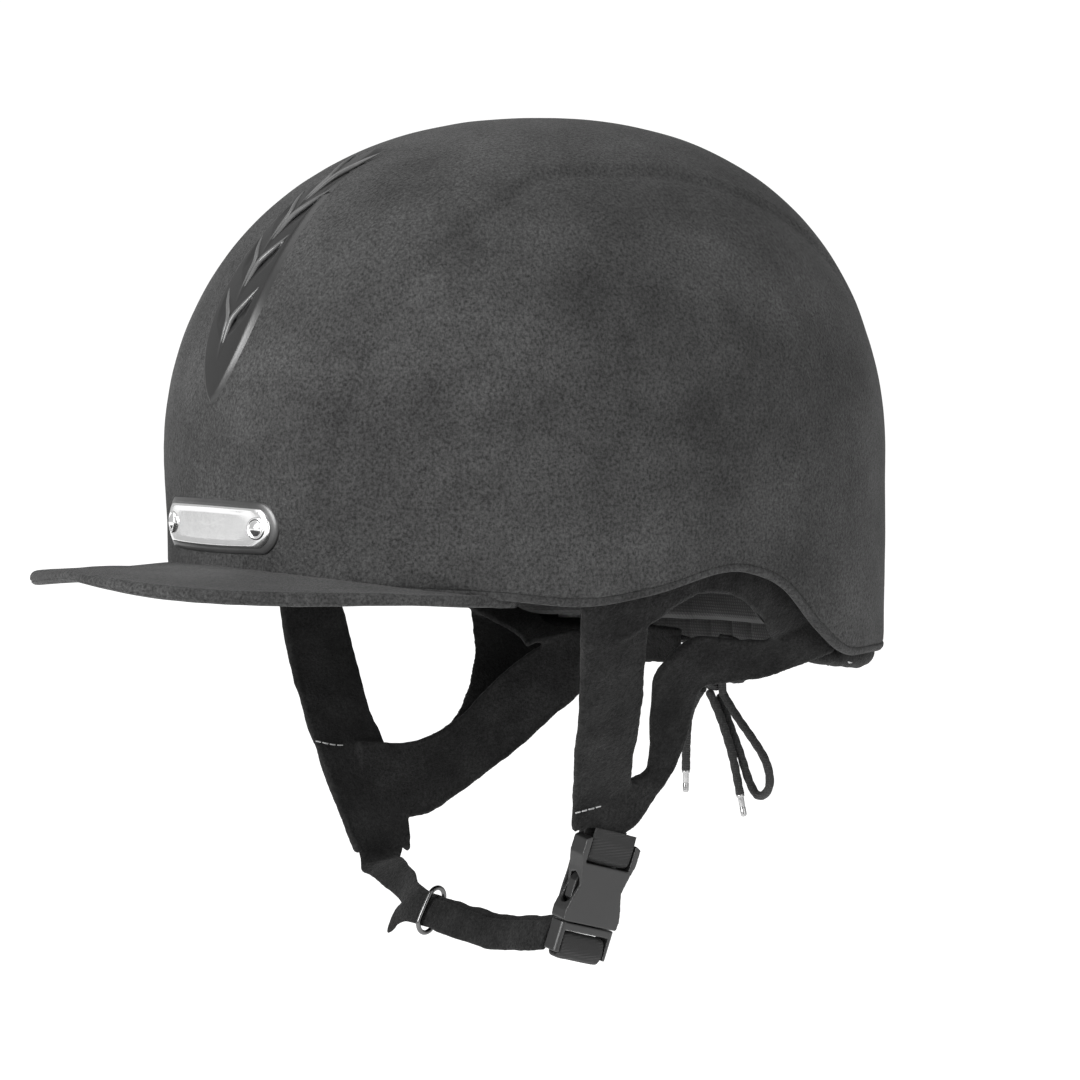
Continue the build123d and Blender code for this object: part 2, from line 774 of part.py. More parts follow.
# ---- Chin strap: it leaves the right panel, turns onto its edge, and runs to the plug. A second
# layer comes back from the plug, through the keeper ring, and ends in a tail. ----
CHIN_HALF_WIDTH = 5.75
CHIN_TILT = Vector(0, 0.45, 0.893)
RING_CENTRE = Vector(-8.0, -46.4, -122.2)
RING_AXIS = Vector(34.0, 6.7, -4.7).normalized()


def tilted(centre):
    """The lower and upper edge points of the tilted strap at one station."""
    middle = Vector(*centre)
    reach = CHIN_TILT * CHIN_HALF_WIDTH
    return (tuple(middle - reach), tuple(middle + reach))


CHIN_STATIONS = [
    ((-66.0, -40.0, -108.0), (-65.4, -21.0, -109.0)),
    ((-61.0, -42.0, -114.0), (-59.0, -26.0, -111.0)),
    ((-48.5, -43.5, -116.0), (-47.0, -32.5, -108.5)),
    ((-32.5, -45.0, -121.0), (-31.5, -38.0, -111.0)),
    tilted((-14.0, -46.2, -120.8)),
    tilted((20.0, -39.5, -125.5)),
    tilted((36.0, -36.0, -125.0)),
    tilted((51.5, -33.0, -122.5)),
]
FOLD_STATIONS = [
    tilted((-27.0, -50.5, -127.5)),
    tilted((-14.0, -49.2, -122.2)),
    tilted((20.0, -42.5, -126.9)),
    tilted((36.0, -39.0, -126.6)),
    tilted((51.5, -36.0, -124.4)),
]

with BuildPart() as chin_strap:
    add(band(CHIN_STATIONS, WEBBING_THICKNESS))
finish(chin_strap, "chin_strap")

with BuildPart() as chin_strap_fold:
    add(band(FOLD_STATIONS, WEBBING_THICKNESS))
finish(chin_strap_fold, "chin_strap_fold")

with BuildPart() as keeper_ring:
    ring_plane = Plane(origin=RING_CENTRE, x_dir=CHIN_TILT, z_dir=RING_AXIS)
    with BuildSketch(ring_plane.offset(-0.95)):
        SlotOverall(19.6, 10.4)
        SlotOverall(15.8, 6.6, mode=Mode.SUBTRACT)
    extrude(amount=1.9)
    fillet(keeper_ring.edges(), 0.9)
finish(keeper_ring, "keeper_ring")


def direction(x, y, z):
    """A direction given in the buckle's upright frame, in the helmet's frame."""
    turned = Vector(*buckle_point(x, y, z)) - Vector(*buckle_point(0, 0, 0))
    return [round(value, 5) for value in turned]


print("buckle_release axis:", direction(0, 0, -1))
print("prong hinge axis:", direction(1, 0, 0))
for side_name, side in (("front", -1), ("rear", 1)):
    root = buckle_point(0, side * PRONG_ROOT_Y, PRONG_ROOT_Z)
    print("prong root", side_name, [round(value, 3) for value in root])
print("keeper ring axis:", [round(value, 5) for value in RING_AXIS])
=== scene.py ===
"""Riding helmet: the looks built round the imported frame.

Lengths in the geometry functions are millimetres and are turned into metres when a mesh is made.
+Z is up, the wearer's front is -Y and the wearer's left is +X, as in the frame.
"""

import math

import bmesh
import bpy
import numpy as np
from mathutils import Matrix, Vector, noise


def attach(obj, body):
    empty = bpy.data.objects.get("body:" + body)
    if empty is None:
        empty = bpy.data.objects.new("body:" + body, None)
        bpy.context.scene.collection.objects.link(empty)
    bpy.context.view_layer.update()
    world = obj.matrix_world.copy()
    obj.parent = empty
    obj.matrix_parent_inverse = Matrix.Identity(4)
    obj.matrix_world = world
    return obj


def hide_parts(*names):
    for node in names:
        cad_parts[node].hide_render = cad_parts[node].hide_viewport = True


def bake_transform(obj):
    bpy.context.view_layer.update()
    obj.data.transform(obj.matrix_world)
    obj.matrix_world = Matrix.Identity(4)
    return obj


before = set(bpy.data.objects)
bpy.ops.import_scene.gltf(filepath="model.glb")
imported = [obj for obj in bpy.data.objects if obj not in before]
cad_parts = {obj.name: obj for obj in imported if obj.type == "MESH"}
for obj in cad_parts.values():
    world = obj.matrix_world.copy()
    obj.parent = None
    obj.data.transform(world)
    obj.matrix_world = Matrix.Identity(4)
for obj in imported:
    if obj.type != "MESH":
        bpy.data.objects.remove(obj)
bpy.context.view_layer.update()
MM = 0.001

# ---- The shell's outer surface, the same egg as the CAD's ----
FRONT, BACK, HALF_WIDTH, TOP, SIDE_TOP = 145.8, 132.0, 113.9, 172.0, 49.0
PLAN_POWER, UP_POWER, IN_POWER = 2.2, 2.05, 2.26
RIM_Y = (-165, -94, -62, -36, 8, 26, 44, 60, 85, 150)
RIM_Z = (7.0, 2.0, 0.5, 4.2, 10.7, 4.0, -11.0, -20.6, -23.0, -24.0)
TRIM_HEIGHT = 3.0
COVER_HANG = 2.4
AIM_HEIGHT, VIEW_DISTANCE = 0.060, 1.4


def smoothstep(low, high, value):
    """0 below low, 1 above high."""
    t = np.clip((value - low) / (high - low), 0.0, 1.0)
    return t * t * (3.0 - 2.0 * t)


def through(knots, values, at):
    """A smooth curve through the knots (Catmull-Rom slopes), at the given places."""
    x, y = np.array(knots, float), np.array(values, float)
    slope = np.gradient(y, x)
    i = np.clip(np.searchsorted(x, at) - 1, 0, len(x) - 2)
    h = x[i + 1] - x[i]
    t = np.clip((at - x[i]) / h, 0, 1)
    a, b = y[i], y[i + 1]
    m, n = slope[i] * h, slope[i + 1] * h
    return a + t * m + t**2 * (3 * (b - a) - 2 * m - n) + t**3 * (2 * (a - b) + m + n)


def rim_z(y):
    """Height of the shell's lower edge, where the soft cover hangs a little below the hard shell."""
    y = np.asarray(y, float)
    return through(RIM_Y, RIM_Z, y) - COVER_HANG * smoothstep(-90, -45, y)


def plan_scale(z, top):
    """How far the plan has closed in at height z."""
    rise = np.clip((z - SIDE_TOP) / (top - SIDE_TOP), 0.0, 1.0)
    return (1.0 - rise**UP_POWER) ** (1.0 / IN_POWER)


def shell_points(turn, z, inset=0.0):
    """Points on the egg: turn is 0 at the front and 90 degrees at the wearer's left."""
    scale = plan_scale(z, TOP - inset)
    across = np.sign(np.sin(turn)) * np.abs(np.sin(turn)) ** (2 / PLAN_POWER)
    along = np.sign(np.cos(turn)) * np.abs(np.cos(turn)) ** (2 / PLAN_POWER)
    reach = np.where(along > 0, FRONT, BACK) - inset
    return np.stack(
        [(HALF_WIDTH - inset) * scale * across, -reach * scale * along, z + 0.0 * turn], axis=-1
    )


def front_y(x, z, raised=0.0):
    """How far forward the shell's front stands at x and z, raised above its surface."""
    scale = plan_scale(z, TOP + raised)
    share = np.clip(np.abs(x) / ((HALF_WIDTH + raised) * scale), 0, 0.999)
    return -(FRONT + raised) * scale * (1.0 - share**PLAN_POWER) ** (1.0 / PLAN_POWER)


# ---- Mesh helpers ----
def new_object(name, vertices, faces, smooth=True):
    """A mesh object from points in millimetres."""
    mesh = bpy.data.meshes.new(name)
    mesh.from_pydata([tuple(v) for v in np.asarray(vertices, float) * MM], [], faces)
    mesh.validate()
    mesh.update()
    if smooth:
        mesh.polygons.foreach_set("use_smooth", [True] * len(mesh.polygons))
    obj = bpy.data.objects.new(name, mesh)
    bpy.context.scene.collection.objects.link(obj)
    return obj


def grid_faces(rows, columns, close_rows=False, close_columns=False, skip=None):
    """Quads of a grid, optionally joined at its ends."""
    faces = []
    for r in range(rows if close_rows else rows - 1):
        for c in range(columns if close_columns else columns - 1):
            if skip is not None and skip[r, c]:
                continue
            r2, c2 = (r + 1) % rows, (c + 1) % columns
            faces.append((r * columns + c, r * columns + c2, r2 * columns + c2, r2 * columns + c))
    return faces


def grid_object(name, grid, close_rows=False, close_columns=False, skip=None):
    """An object from a grid of points."""
    rows, columns = grid.shape[:2]
    faces = grid_faces(rows, columns, close_rows, close_columns, skip)
    return new_object(name, grid.reshape(-1, 3), faces)


def outward(obj):
    """Turn every face outwards."""
    bm = bmesh.new()
    bm.from_mesh(obj.data)
    bmesh.ops.remove_doubles(bm, verts=bm.verts, dist=1e-6)
    bmesh.ops.recalc_face_normals(bm, faces=bm.faces)
    loose = [v for v in bm.verts if not v.link_faces]
    bmesh.ops.delete(bm, geom=loose, context="VERTS")
    bm.to_mesh(obj.data)
    bm.free()
    return obj


def unit(v):
    """Rows scaled to length 1."""
    return v / np.maximum(np.linalg.norm(v, axis=-1, keepdims=True), 1e-9)


def spline(points, per_span=12):
    """A Catmull-Rom line through the points."""
    p = np.array(points, float)
    p = np.vstack([2 * p[0] - p[1], p, 2 * p[-1] - p[-2]])
    line = []
    for i in range(1, len(p) - 2):
        for t in np.linspace(0, 1, per_span, endpoint=False):
            a = 2 * p[i]
            b = (p[i + 1] - p[i - 1]) * t
            c = (2 * p[i - 1] - 5 * p[i] + 4 * p[i + 1] - p[i + 2]) * t**2
            d = (-p[i - 1] + 3 * p[i] - 3 * p[i + 1] + p[i + 2]) * t**3
            line.append((a + b + c + d) / 2)
    line.append(p[-2])
    return np.array(line)


def tube_grid(line, radius, sides=16, relief=None):
    """Rings round a line; radius is one number or one for each point."""
    line = np.asarray(line, float)
    along = unit(np.gradient(line, axis=0))
    side = unit(np.cross(along[0], (0.3, 0.5, 0.81)))
    radii = np.broadcast_to(radius, len(line))
    travelled = np.concatenate([[0], np.cumsum(np.linalg.norm(np.diff(line, axis=0), axis=1))])
    angles = np.linspace(0, 2 * math.pi, sides, endpoint=False)
    rings = []
    for point, tangent, r, s in zip(line, along, radii, travelled):
        side = unit(side - tangent * side.dot(tangent))
        other = np.cross(tangent, side)
        shape = r * (1.0 if relief is None else relief(angles, s))
        rings.append(point + np.outer(np.cos(angles) * shape, side) + np.outer(np.sin(angles) * shape, other))
    return np.array(rings)


def tube(name, line, radius, sides=16, relief=None):
    """A closed tube with domed ends."""
    grid = tube_grid(line, radius, sides, relief)
    caps = []
    for end, beyond in ((0, line[0] - line[1]), (-1, line[-1] - line[-2])):
        centre, ring = grid[end].mean(0), grid[end]
        r = np.linalg.norm(ring - centre, axis=1).mean()
        push = unit(beyond) * r
        steps = [(centre + (ring - centre) * math.cos(a) + push * math.sin(a)) for a in (0.5, 0.95, 1.35, 1.55)]
        caps.append(np.array(steps))
    grid = np.vstack([caps[0][::-1], grid, caps[1]])
    return outward(grid_object(name, grid, close_columns=True))


def band_grid(stations, thickness, per_span=12, sides=36, power=3.2, profile=None):
    """A padded strip: rounded sections across smooth edge lines. profile shapes its thickness."""
    first = spline([s[0] for s in stations], per_span)
    second = spline([s[1] for s in stations], per_span)
    middle, across = (first + second) / 2, second - first
    width = np.linalg.norm(across, axis=1)
    across = unit(across)
    along = np.gradient(middle, axis=0)
    along = unit(along - across * np.sum(along * across, axis=1, keepdims=True))
    normal = np.cross(along, across)
    a = np.linspace(0, 2 * math.pi, sides, endpoint=False)
    u = np.sign(np.cos(a)) * np.abs(np.cos(a)) ** (2 / power)
    n = np.sign(np.sin(a)) * np.abs(np.sin(a)) ** (2 / power)
    rows = []
    for i in range(len(middle)):
        half = width[i] / 2
        lift = thickness / 2 * n * (1.0 if profile is None else profile(u * half, half))
        rows.append(middle[i] + np.outer(u * half, across[i]) + np.outer(lift, normal[i]))
    return np.array(rows)


def band(name, stations, thickness, **options):
    """A padded strip as an object, its two ends closed."""
    grid = band_grid(stations, thickness, **options)
    faces = grid_faces(*grid.shape[:2], close_columns=True)
    rows, sides = grid.shape[:2]
    vertices = np.vstack([grid.reshape(-1, 3), grid[0].mean(0)[None], grid[-1].mean(0)[None]])
    low, high = rows * sides, rows * sides + 1
    for c in range(sides):
        faces.append((low, (c + 1) % sides, c))
        base = (rows - 1) * sides
        faces.append((high, base + c, base + (c + 1) % sides))
    return outward(new_object(name, vertices, faces))


def join(name, objects):
    """One object from several."""
    bm = bmesh.new()
    for o in objects:
        bm.from_mesh(o.data)
    mesh = bpy.data.meshes.new(name)
    bm.to_mesh(mesh)
    bm.free()
    for o in objects:
        bpy.data.objects.remove(o)
    obj = bpy.data.objects.new(name, mesh)
    bpy.context.scene.collection.objects.link(obj)
    mesh.polygons.foreach_set("use_smooth", [True] * len(mesh.polygons))
    return obj


def apply_modifiers(obj):
    """Bake an object's modifiers into its mesh."""
    evaluated = obj.evaluated_get(bpy.context.evaluated_depsgraph_get())
    mesh = bpy.data.meshes.new_from_object(evaluated)
    obj.modifiers.clear()
    obj.data = mesh
    mesh.polygons.foreach_set("use_smooth", [True] * len(mesh.polygons))
    return obj


def fuse(obj, voxel, smooth):
    """Melt an object's overlapping parts into one soft-edged skin."""
    remesh = obj.modifiers.new("fuse", "REMESH")
    remesh.mode, remesh.voxel_size = "VOXEL", voxel * MM
    soften = obj.modifiers.new("soften", "SMOOTH")
    soften.factor, soften.iterations = 0.5, smooth
    return apply_modifiers(obj)


def vertices_of(obj):
    """Vertex places in millimetres."""
    co = np.zeros(len(obj.data.vertices) * 3)
    obj.data.vertices.foreach_get("co", co)
    return co.reshape(-1, 3) / MM


def set_vertices(obj, points):
    """Put vertices back, given in millimetres."""
    obj.data.vertices.foreach_set("co", (points * MM).ravel())
    obj.data.update()


def rumple(obj, layers):
    """Move vertices along their normals by layers of noise (size, height) in millimetres."""
    points = vertices_of(obj)
    normals = np.array([v.normal for v in obj.data.vertices])
    lift = np.zeros(len(points))
    for size, height in layers:
        lift += height * np.array([noise.noise(Vector(p / size)) for p in points])
    set_vertices(obj, points + normals * lift[:, None])
    return obj


# ---- Materials: every colour is linear ----
def material(name, build, roughness, metallic=0.0, sheen=0.0, coat=0.0):
    """A Principled material whose colour and bump nodes come from build(nodes, links, place, shader)."""
    made = bpy.data.materials.new(name)
    made.use_nodes = True
    nodes, links = made.node_tree.nodes, made.node_tree.links
    shader = nodes["Principled BSDF"]
    shader.inputs["Roughness"].default_value = roughness
    shader.inputs["Metallic"].default_value = metallic
    shader.inputs["Sheen Weight"].default_value = sheen
    shader.inputs["Sheen Roughness"].default_value = 0.45
    shader.inputs["Coat Weight"].default_value = coat
    place = nodes.new("ShaderNodeTexCoord").outputs["Object"]
    build(nodes, links, place, shader)
    return made


def noise_node(nodes, links, place, scale, detail=3.0, rough=0.55):
    """Noise over the object's own coordinates, in metres."""
    made = nodes.new("ShaderNodeTexNoise")
    made.inputs["Scale"].default_value = scale
    made.inputs["Detail"].default_value = detail
    made.inputs["Roughness"].default_value = rough
    links.new(place, made.inputs["Vector"])
    return made.outputs["Fac"]


def ramp(nodes, links, factor, stops):
    """A colour ramp with (place, grey or colour) stops."""
    made = nodes.new("ShaderNodeValToRGB")
    while len(made.color_ramp.elements) < len(stops):
        made.color_ramp.elements.new(0.5)
    for element, (at, colour) in zip(made.color_ramp.elements, stops):
        rgb = (colour,) * 3 if isinstance(colour, float) else colour
        element.position, element.color = at, (*rgb, 1.0)
    links.new(factor, made.inputs["Fac"])
    return made.outputs["Color"]


def mix(nodes, links, kind, factor, first, second):
    """Two colours mixed."""
    made = nodes.new("ShaderNodeMix")
    made.data_type, made.blend_type = "RGBA", kind
    made.inputs["Factor"].default_value = factor
    links.new(first, made.inputs["A"])
    links.new(second, made.inputs["B"])
    return made.outputs["Result"]


def bump(nodes, links, shader, height, strength, distance):
    """A bump from a height, distance in metres."""
    made = nodes.new("ShaderNodeBump")
    made.inputs["Strength"].default_value = strength
    made.inputs["Distance"].default_value = distance
    links.new(height, made.inputs["Height"])
    links.new(made.outputs["Normal"], shader.inputs["Normal"])


def suede(name, dark, light, blotch=26.0, nap=950.0, strength=0.55, sheen=0.35):
    """Napped microfibre: large rubbed patches, small specks and a short pile."""

    def build(nodes, links, place, shader):
        patches = noise_node(nodes, links, place, blotch, 4.0, 0.62)
        colour = ramp(nodes, links, patches, [(0.3, dark), (0.72, light)])
        specks = noise_node(nodes, links, place, nap, 2.0, 0.7)
        speckle = ramp(nodes, links, specks, [(0.3, 0.25), (0.68, 1.35)])
        links.new(mix(nodes, links, "MULTIPLY", 0.85, colour, speckle), shader.inputs["Base Color"])
        pile = noise_node(nodes, links, place, nap * 0.8, 3.0, 0.75)
        bump(nodes, links, shader, pile, strength, 0.0009)
        shader.inputs["Specular IOR Level"].default_value = 0.12

    return material(name, build, 0.95, sheen=sheen)


def plastic(name, grey, roughness, grain=2600.0, strength=0.1, coat=0.0):
    """Moulded plastic with a fine spark-eroded grain."""

    def build(nodes, links, place, shader):
        tone = noise_node(nodes, links, place, 60.0)
        colour = ramp(nodes, links, tone, [(0.3, grey * 0.8), (0.7, grey * 1.25)])
        links.new(colour, shader.inputs["Base Color"])
        fine = noise_node(nodes, links, place, grain, 2.0, 0.6)
        rough = ramp(nodes, links, fine, [(0.2, roughness * 0.85), (0.8, min(1.0, roughness * 1.2))])
        links.new(rough, shader.inputs["Roughness"])
        bump(nodes, links, shader, fine, strength, 0.0002)

    return material(name, build, roughness, coat=coat)


def metal(name, grey, roughness):
    """Plated metal with faint handling marks."""

    def build(nodes, links, place, shader):
        tone = noise_node(nodes, links, place, 220.0)
        colour = ramp(nodes, links, tone, [(0.25, grey * 0.93), (0.75, grey)])
        links.new(colour, shader.inputs["Base Color"])
        marks = noise_node(nodes, links, place, 900.0, 4.0, 0.7)
        rough = ramp(nodes, links, marks, [(0.3, roughness * 0.8), (0.8, roughness * 1.5)])
        links.new(rough, shader.inputs["Roughness"])
        bump(nodes, links, shader, marks, 0.04, 0.0001)

    return material(name, build, roughness, metallic=1.0)


def woven(name, dark, light, pitch, roughness=0.85, strength=0.6, metallic=0.0, sheen=0.3):
    """Two crossed waves: webbing, knit, braid or wire mesh, pitch in metres."""

    def build(nodes, links, place, shader):
        heights = []
        for direction in ("X", "Z"):
            wave = nodes.new("ShaderNodeTexWave")
            wave.bands_direction = direction
            wave.inputs["Scale"].default_value = 0.314 / pitch
            wave.inputs["Distortion"].default_value = 0.6
            wave.inputs["Detail"].default_value = 1.0
            links.new(place, wave.inputs["Vector"])
            heights.append(wave.outputs["Color"])
        weave = mix(nodes, links, "MULTIPLY", 1.0, heights[0], heights[1])
        fuzz = noise_node(nodes, links, place, 1400.0)
        height = mix(nodes, links, "MIX", 0.35, weave, fuzz)
        colour = ramp(nodes, links, height, [(0.1, dark), (0.75, light)])
        links.new(colour, shader.inputs["Base Color"])
        bump(nodes, links, shader, height, strength, 0.0005)

    return material(name, build, roughness, metallic=metallic, sheen=sheen)


def bead_foam(name, dark, light):
    """Expanded bead foam: packed round beads."""

    def build(nodes, links, place, shader):
        beads = nodes.new("ShaderNodeTexVoronoi")
        beads.inputs["Scale"].default_value = 340.0
        links.new(place, beads.inputs["Vector"])
        colour = ramp(nodes, links, beads.outputs["Distance"], [(0.1, light), (0.8, dark)])
        links.new(colour, shader.inputs["Base Color"])
        bump(nodes, links, shader, beads.outputs["Distance"], 0.5, -0.0006)

    return material(name, build, 0.8)


LOOKS = {
    "suede_cover": suede("suede_cover", 0.022, 0.05, blotch=22.0, strength=0.9, sheen=0.06),
    "harness_suede": suede("harness_suede", 0.006, 0.017, blotch=60.0, strength=0.9, sheen=0.05),
    "hard_shell": plastic("hard_shell", 0.02, 0.5),
    "foam_liner": bead_foam("foam_liner", 0.015, 0.03),
    "comfort_lining": woven("comfort_lining", 0.003, 0.009, 0.0012, sheen=0.03),
    "light_lining": woven("light_lining", 0.38, 0.62, 0.0014, sheen=0.2),
    "satin_plastic": plastic("satin_plastic", 0.006, 0.36),
    # A ten times lighter copy of satin_plastic for the chevron lips: a painted highlight.
    "satin_plastic_painted_highlight": plastic("satin_plastic_painted_highlight", 0.06, 0.3),
    "gloss_black": plastic("gloss_black", 0.03, 0.3, strength=0.03),
    "mesh": woven("mesh", 0.01, 0.75, 0.0009, 0.35, 1.0, metallic=1.0, sheen=0.0),
    "chrome": metal("chrome", 0.95, 0.16),
    "edge_trim": suede("edge_trim", 0.02, 0.042, blotch=30.0, strength=0.8, sheen=0.05),
    "webbing": woven("webbing", 0.004, 0.013, 0.0011, sheen=0.04),
    "lace": woven("lace", 0.006, 0.022, 0.0009, sheen=0.05),
    "steel": metal("steel", 0.32, 0.26),
    "dark_plate": metal("dark_plate", 0.1, 0.22),
    "thread": woven("thread", 0.2, 0.5, 0.0006, sheen=0.0),
}


def dress(obj, look, *nodes, body="root", slot=None):
    """Material, body and the CAD nodes that a new piece stands for. The slot argument is not used."""
    obj.data.materials.clear()
    obj.data.materials.append(LOOKS[look])
    if nodes:
        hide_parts(*nodes)
    if body:
        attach(obj, body)
    return obj


# ---- Camera, world, lights and floor ----
def camera():
    """The photograph's viewpoint."""
    azimuth, elevation, distance = math.radians(53.6), math.radians(1.5), VIEW_DISTANCE
    eye = Vector(
        (
            math.sin(azimuth) * math.cos(elevation) * distance,
            -math.cos(azimuth) * math.cos(elevation) * distance,
            AIM_HEIGHT + math.sin(elevation) * distance,
        )
    )
    made = bpy.data.cameras.new("camera")
    made.lens, made.sensor_width = 123.8, 36.0
    made.clip_start, made.clip_end = 0.05, 60.0
    obj = bpy.data.objects.new("camera", made)
    bpy.context.scene.collection.objects.link(obj)
    look = Vector((0, 0, AIM_HEIGHT)) - eye
    pitched = Matrix.Rotation(math.radians(-1.83), 3, look.cross(Vector((0, 0, 1))).normalized()) @ look
    pitched = Matrix.Rotation(math.radians(0.06), 3, "Z") @ pitched
    obj.rotation_mode = "QUATERNION"
    obj.location, obj.rotation_quaternion = eye, pitched.to_track_quat("-Z", "Y")
    bpy.context.scene.camera = obj


def studio():
    """White surroundings, soft boxes and a pale floor well below the helmet."""
    world = bpy.data.worlds.new("studio")
    bpy.context.scene.world = world
    world.use_nodes = True
    nodes, links = world.node_tree.nodes, world.node_tree.links
    surroundings = nodes["Background"]
    surroundings.inputs["Color"].default_value = (1, 1, 1, 1)
    surroundings.inputs["Strength"].default_value = 0.55
    backdrop = nodes.new("ShaderNodeBackground")
    backdrop.inputs["Color"].default_value = (1, 1, 1, 1)
    backdrop.inputs["Strength"].default_value = 1.05
    seen = nodes.new("ShaderNodeMixShader")
    links.new(nodes.new("ShaderNodeLightPath").outputs["Is Camera Ray"], seen.inputs["Fac"])
    links.new(surroundings.outputs["Background"], seen.inputs[1])
    links.new(backdrop.outputs["Background"], seen.inputs[2])
    links.new(seen.outputs["Shader"], nodes["World Output"].inputs["Surface"])
    boxes = [
        ("key_light", (0.2, -1.6, 0.5), 0.8, 40.0),
        ("side_light", (1.7, 0.2, 0.5), 1.2, 12.0),
        ("top_light", (0.3, -0.4, 1.9), 1.2, 14.0),
    ]
    for name, place, size, power in boxes:
        light = bpy.data.lights.new(name, "AREA")
        light.size, light.energy = size, power
        obj = bpy.data.objects.new(name, light)
        obj.location = place
        obj.rotation_mode = "QUATERNION"
        obj.rotation_quaternion = (Vector((0, 0, 0.05)) - Vector(place)).to_track_quat("-Z", "Y")
        bpy.context.scene.collection.objects.link(obj)
    turn = np.linspace(0, 2 * math.pi, 96, endpoint=False)
    rings = [
        np.stack([r * np.cos(turn), r * np.sin(turn), np.full_like(turn, -560.0)], -1)
        for r in (1.0, 3000.0, 9000.0)
    ]
    floor = grid_object("floor", np.array(rings), close_columns=True)

    def build(nodes, links, place, shader):
        tone = noise_node(nodes, links, place, 3.0)
        links.new(ramp(nodes, links, tone, [(0.0, 0.93), (1.0, 0.95)]), shader.inputs["Base Color"])
        shader.inputs["Emission Color"].default_value = (1, 1, 1, 1)
        shader.inputs["Emission Strength"].default_value = 0.62

    floor.data.materials.append(material("floor", build, 0.9))
    settings = bpy.context.scene.view_settings
    settings.view_transform, settings.look = "Standard", "None"


camera()
studio()

# ---- Cords: the free ends of the nape lace ----
LACE_DIAMETER = 3.4
LACE_LOOP = [
    (4.0, 84.0, -47.5), (8.5, 86.0, -55.0), (17.0, 88.0, -64.0), (25.5, 89.0, -73.0), (27.0, 89.5, -83.0),
    (19.5, 89.5, -88.0), (13.5, 89.5, -82.0), (9.5, 88.5, -71.0), (4.5, 87.0, -60.0), (1.0, 85.0, -49.5),
]
LACE_END_LEFT = [
    (1.0, 80.0, -47.5), (3.5, 82.5, -55.0), (7.5, 84.0, -66.0), (10.5, 84.8, -75.0), (13.5, 85.0, -86.0),
]
LACE_END_RIGHT = [(-4.5, 79.5, -47.2), (-8.0, 77.5, -53.0), (-9.5, 76.5, -63.0), (-9.0, 76.0, -78.0)]


def braid(angles, travelled):
    """Plaited strands: two sets of ridges that cross."""
    turn = travelled / (LACE_DIAMETER * 1.5) * math.pi
    ridges = np.maximum(np.cos(4 * angles + turn * 2), np.cos(4 * angles - turn * 2))
    return 0.95 + 0.07 * ridges


def nurbs_line(route):
    """The points of a smooth curve with the route as its control points, in millimetres."""
    curve = bpy.data.curves.new("route", "CURVE")
    curve.dimensions = "3D"
    line = curve.splines.new("NURBS")
    line.points.add(len(route) - 1)
    for point, place in zip(line.points, route):
        point.co = (*[v * MM for v in place], 1.0)
    line.order_u, line.use_endpoint_u, line.resolution_u = 3, True, 16
    obj = bpy.data.objects.new("route", curve)
    bpy.context.scene.collection.objects.link(obj)
    bpy.context.view_layer.update()
    mesh = bpy.data.meshes.new_from_object(obj.evaluated_get(bpy.context.evaluated_depsgraph_get()))
    points = np.array([v.co[:] for v in mesh.vertices]) / MM
    bpy.data.objects.remove(obj)
    return points


def even(line, step):
    """The same line with points a step apart."""
    gaps = np.linalg.norm(np.diff(line, axis=0), axis=1)
    travelled = np.concatenate([[0], np.cumsum(gaps)])
    at = np.linspace(0, travelled[-1], max(8, int(travelled[-1] / step)))
    return np.stack([np.interp(at, travelled, line[:, k]) for k in range(3)], -1), travelled[-1]


def aglet(name, line, node, body="root"):
    """A crimped metal tip with a collar, on the end of a lace."""
    start, direction = line[-1], unit(line[-1] - line[-4])
    profile = [(0.1, 1.3), (0.3, 1.6), (1.3, 1.65), (1.5, 1.3), (1.8, 1.2), (5.0, 1.2), (5.2, 1.05), (5.6, 1.2)]
    profile += [(8.2, 1.2), (8.8, 1.05), (9.1, 0.6), (9.15, 0.05)]
    centre = np.array([start + direction * s for s, _ in profile])
    rings = tube_grid(centre, np.array([r for _, r in profile]), 20)
    tip = outward(grid_object(name, rings, close_columns=True))
    return dress(tip, "steel", node, body=body)


def lace(name, route, tip=None):
    """One free length of braided lace with its real length."""
    line, length = even(nurbs_line(route), 0.45)
    obj = tube(name, line, LACE_DIAMETER / 2, 20, braid)
    dress(obj, "lace", name.replace("_braid", ""))
    pieces = [aglet(tip + "_tip", line, tip)] if tip else []
    return obj


lace("lace_loop_braid", LACE_LOOP)
lace("lace_end_left_braid", LACE_END_LEFT, "aglet_left")
lace("lace_end_right_braid", LACE_END_RIGHT, "aglet_right")


def knot():
    """The bow's knot: one pass of lace wrapped round the two that run through it."""
    turn = np.linspace(0, 2 * math.pi * 1.75, 60)
    wrap = np.stack([3.6 * (turn / turn[-1] - 0.5), 82.5 + 3.0 * np.cos(turn), -42 + 3.0 * np.sin(turn)], -1)
    arch = spline([(-5.0, 81, -46.5), (-4.6, 82, -41), (0, 82.4, -39.6), (4.6, 82.6, -41), (4.6, 83.4, -46.8)], 10)
    loops = [tube("wrap", wrap, 1.6, 16, braid), tube("arch", arch, 1.6, 16, braid)]
    return dress(join("lace_knot_braid", loops), "lace", "lace_knot")


def lacing():
    """Two crossing passes of lace between the eyelets."""
    passes = []
    for low, high, lift in ((-26.5, -33.0, 0.0), (-33.0, -26.5, 2.4)):
        route = [(-16.5, 78.4, low), (-8, 80.6 + lift, low * 0.7 + high * 0.3), (0, 81.6 + lift, -29.8)]
        route += [(8, 80.6 + lift, high * 0.7 + low * 0.3), (16.5, 78.4, high)]
        passes.append(tube("pass", spline(route, 10), 1.25, 14, braid))
    passes.append(tube("drop", spline([(-1.5, 82, -33), (-2, 83.4, -36), (-1, 83, -39)], 8), 1.3, 14, braid))
    return dress(join("nape_lacing_braid", passes), "lace", "nape_lacing")


knot()
lacing()

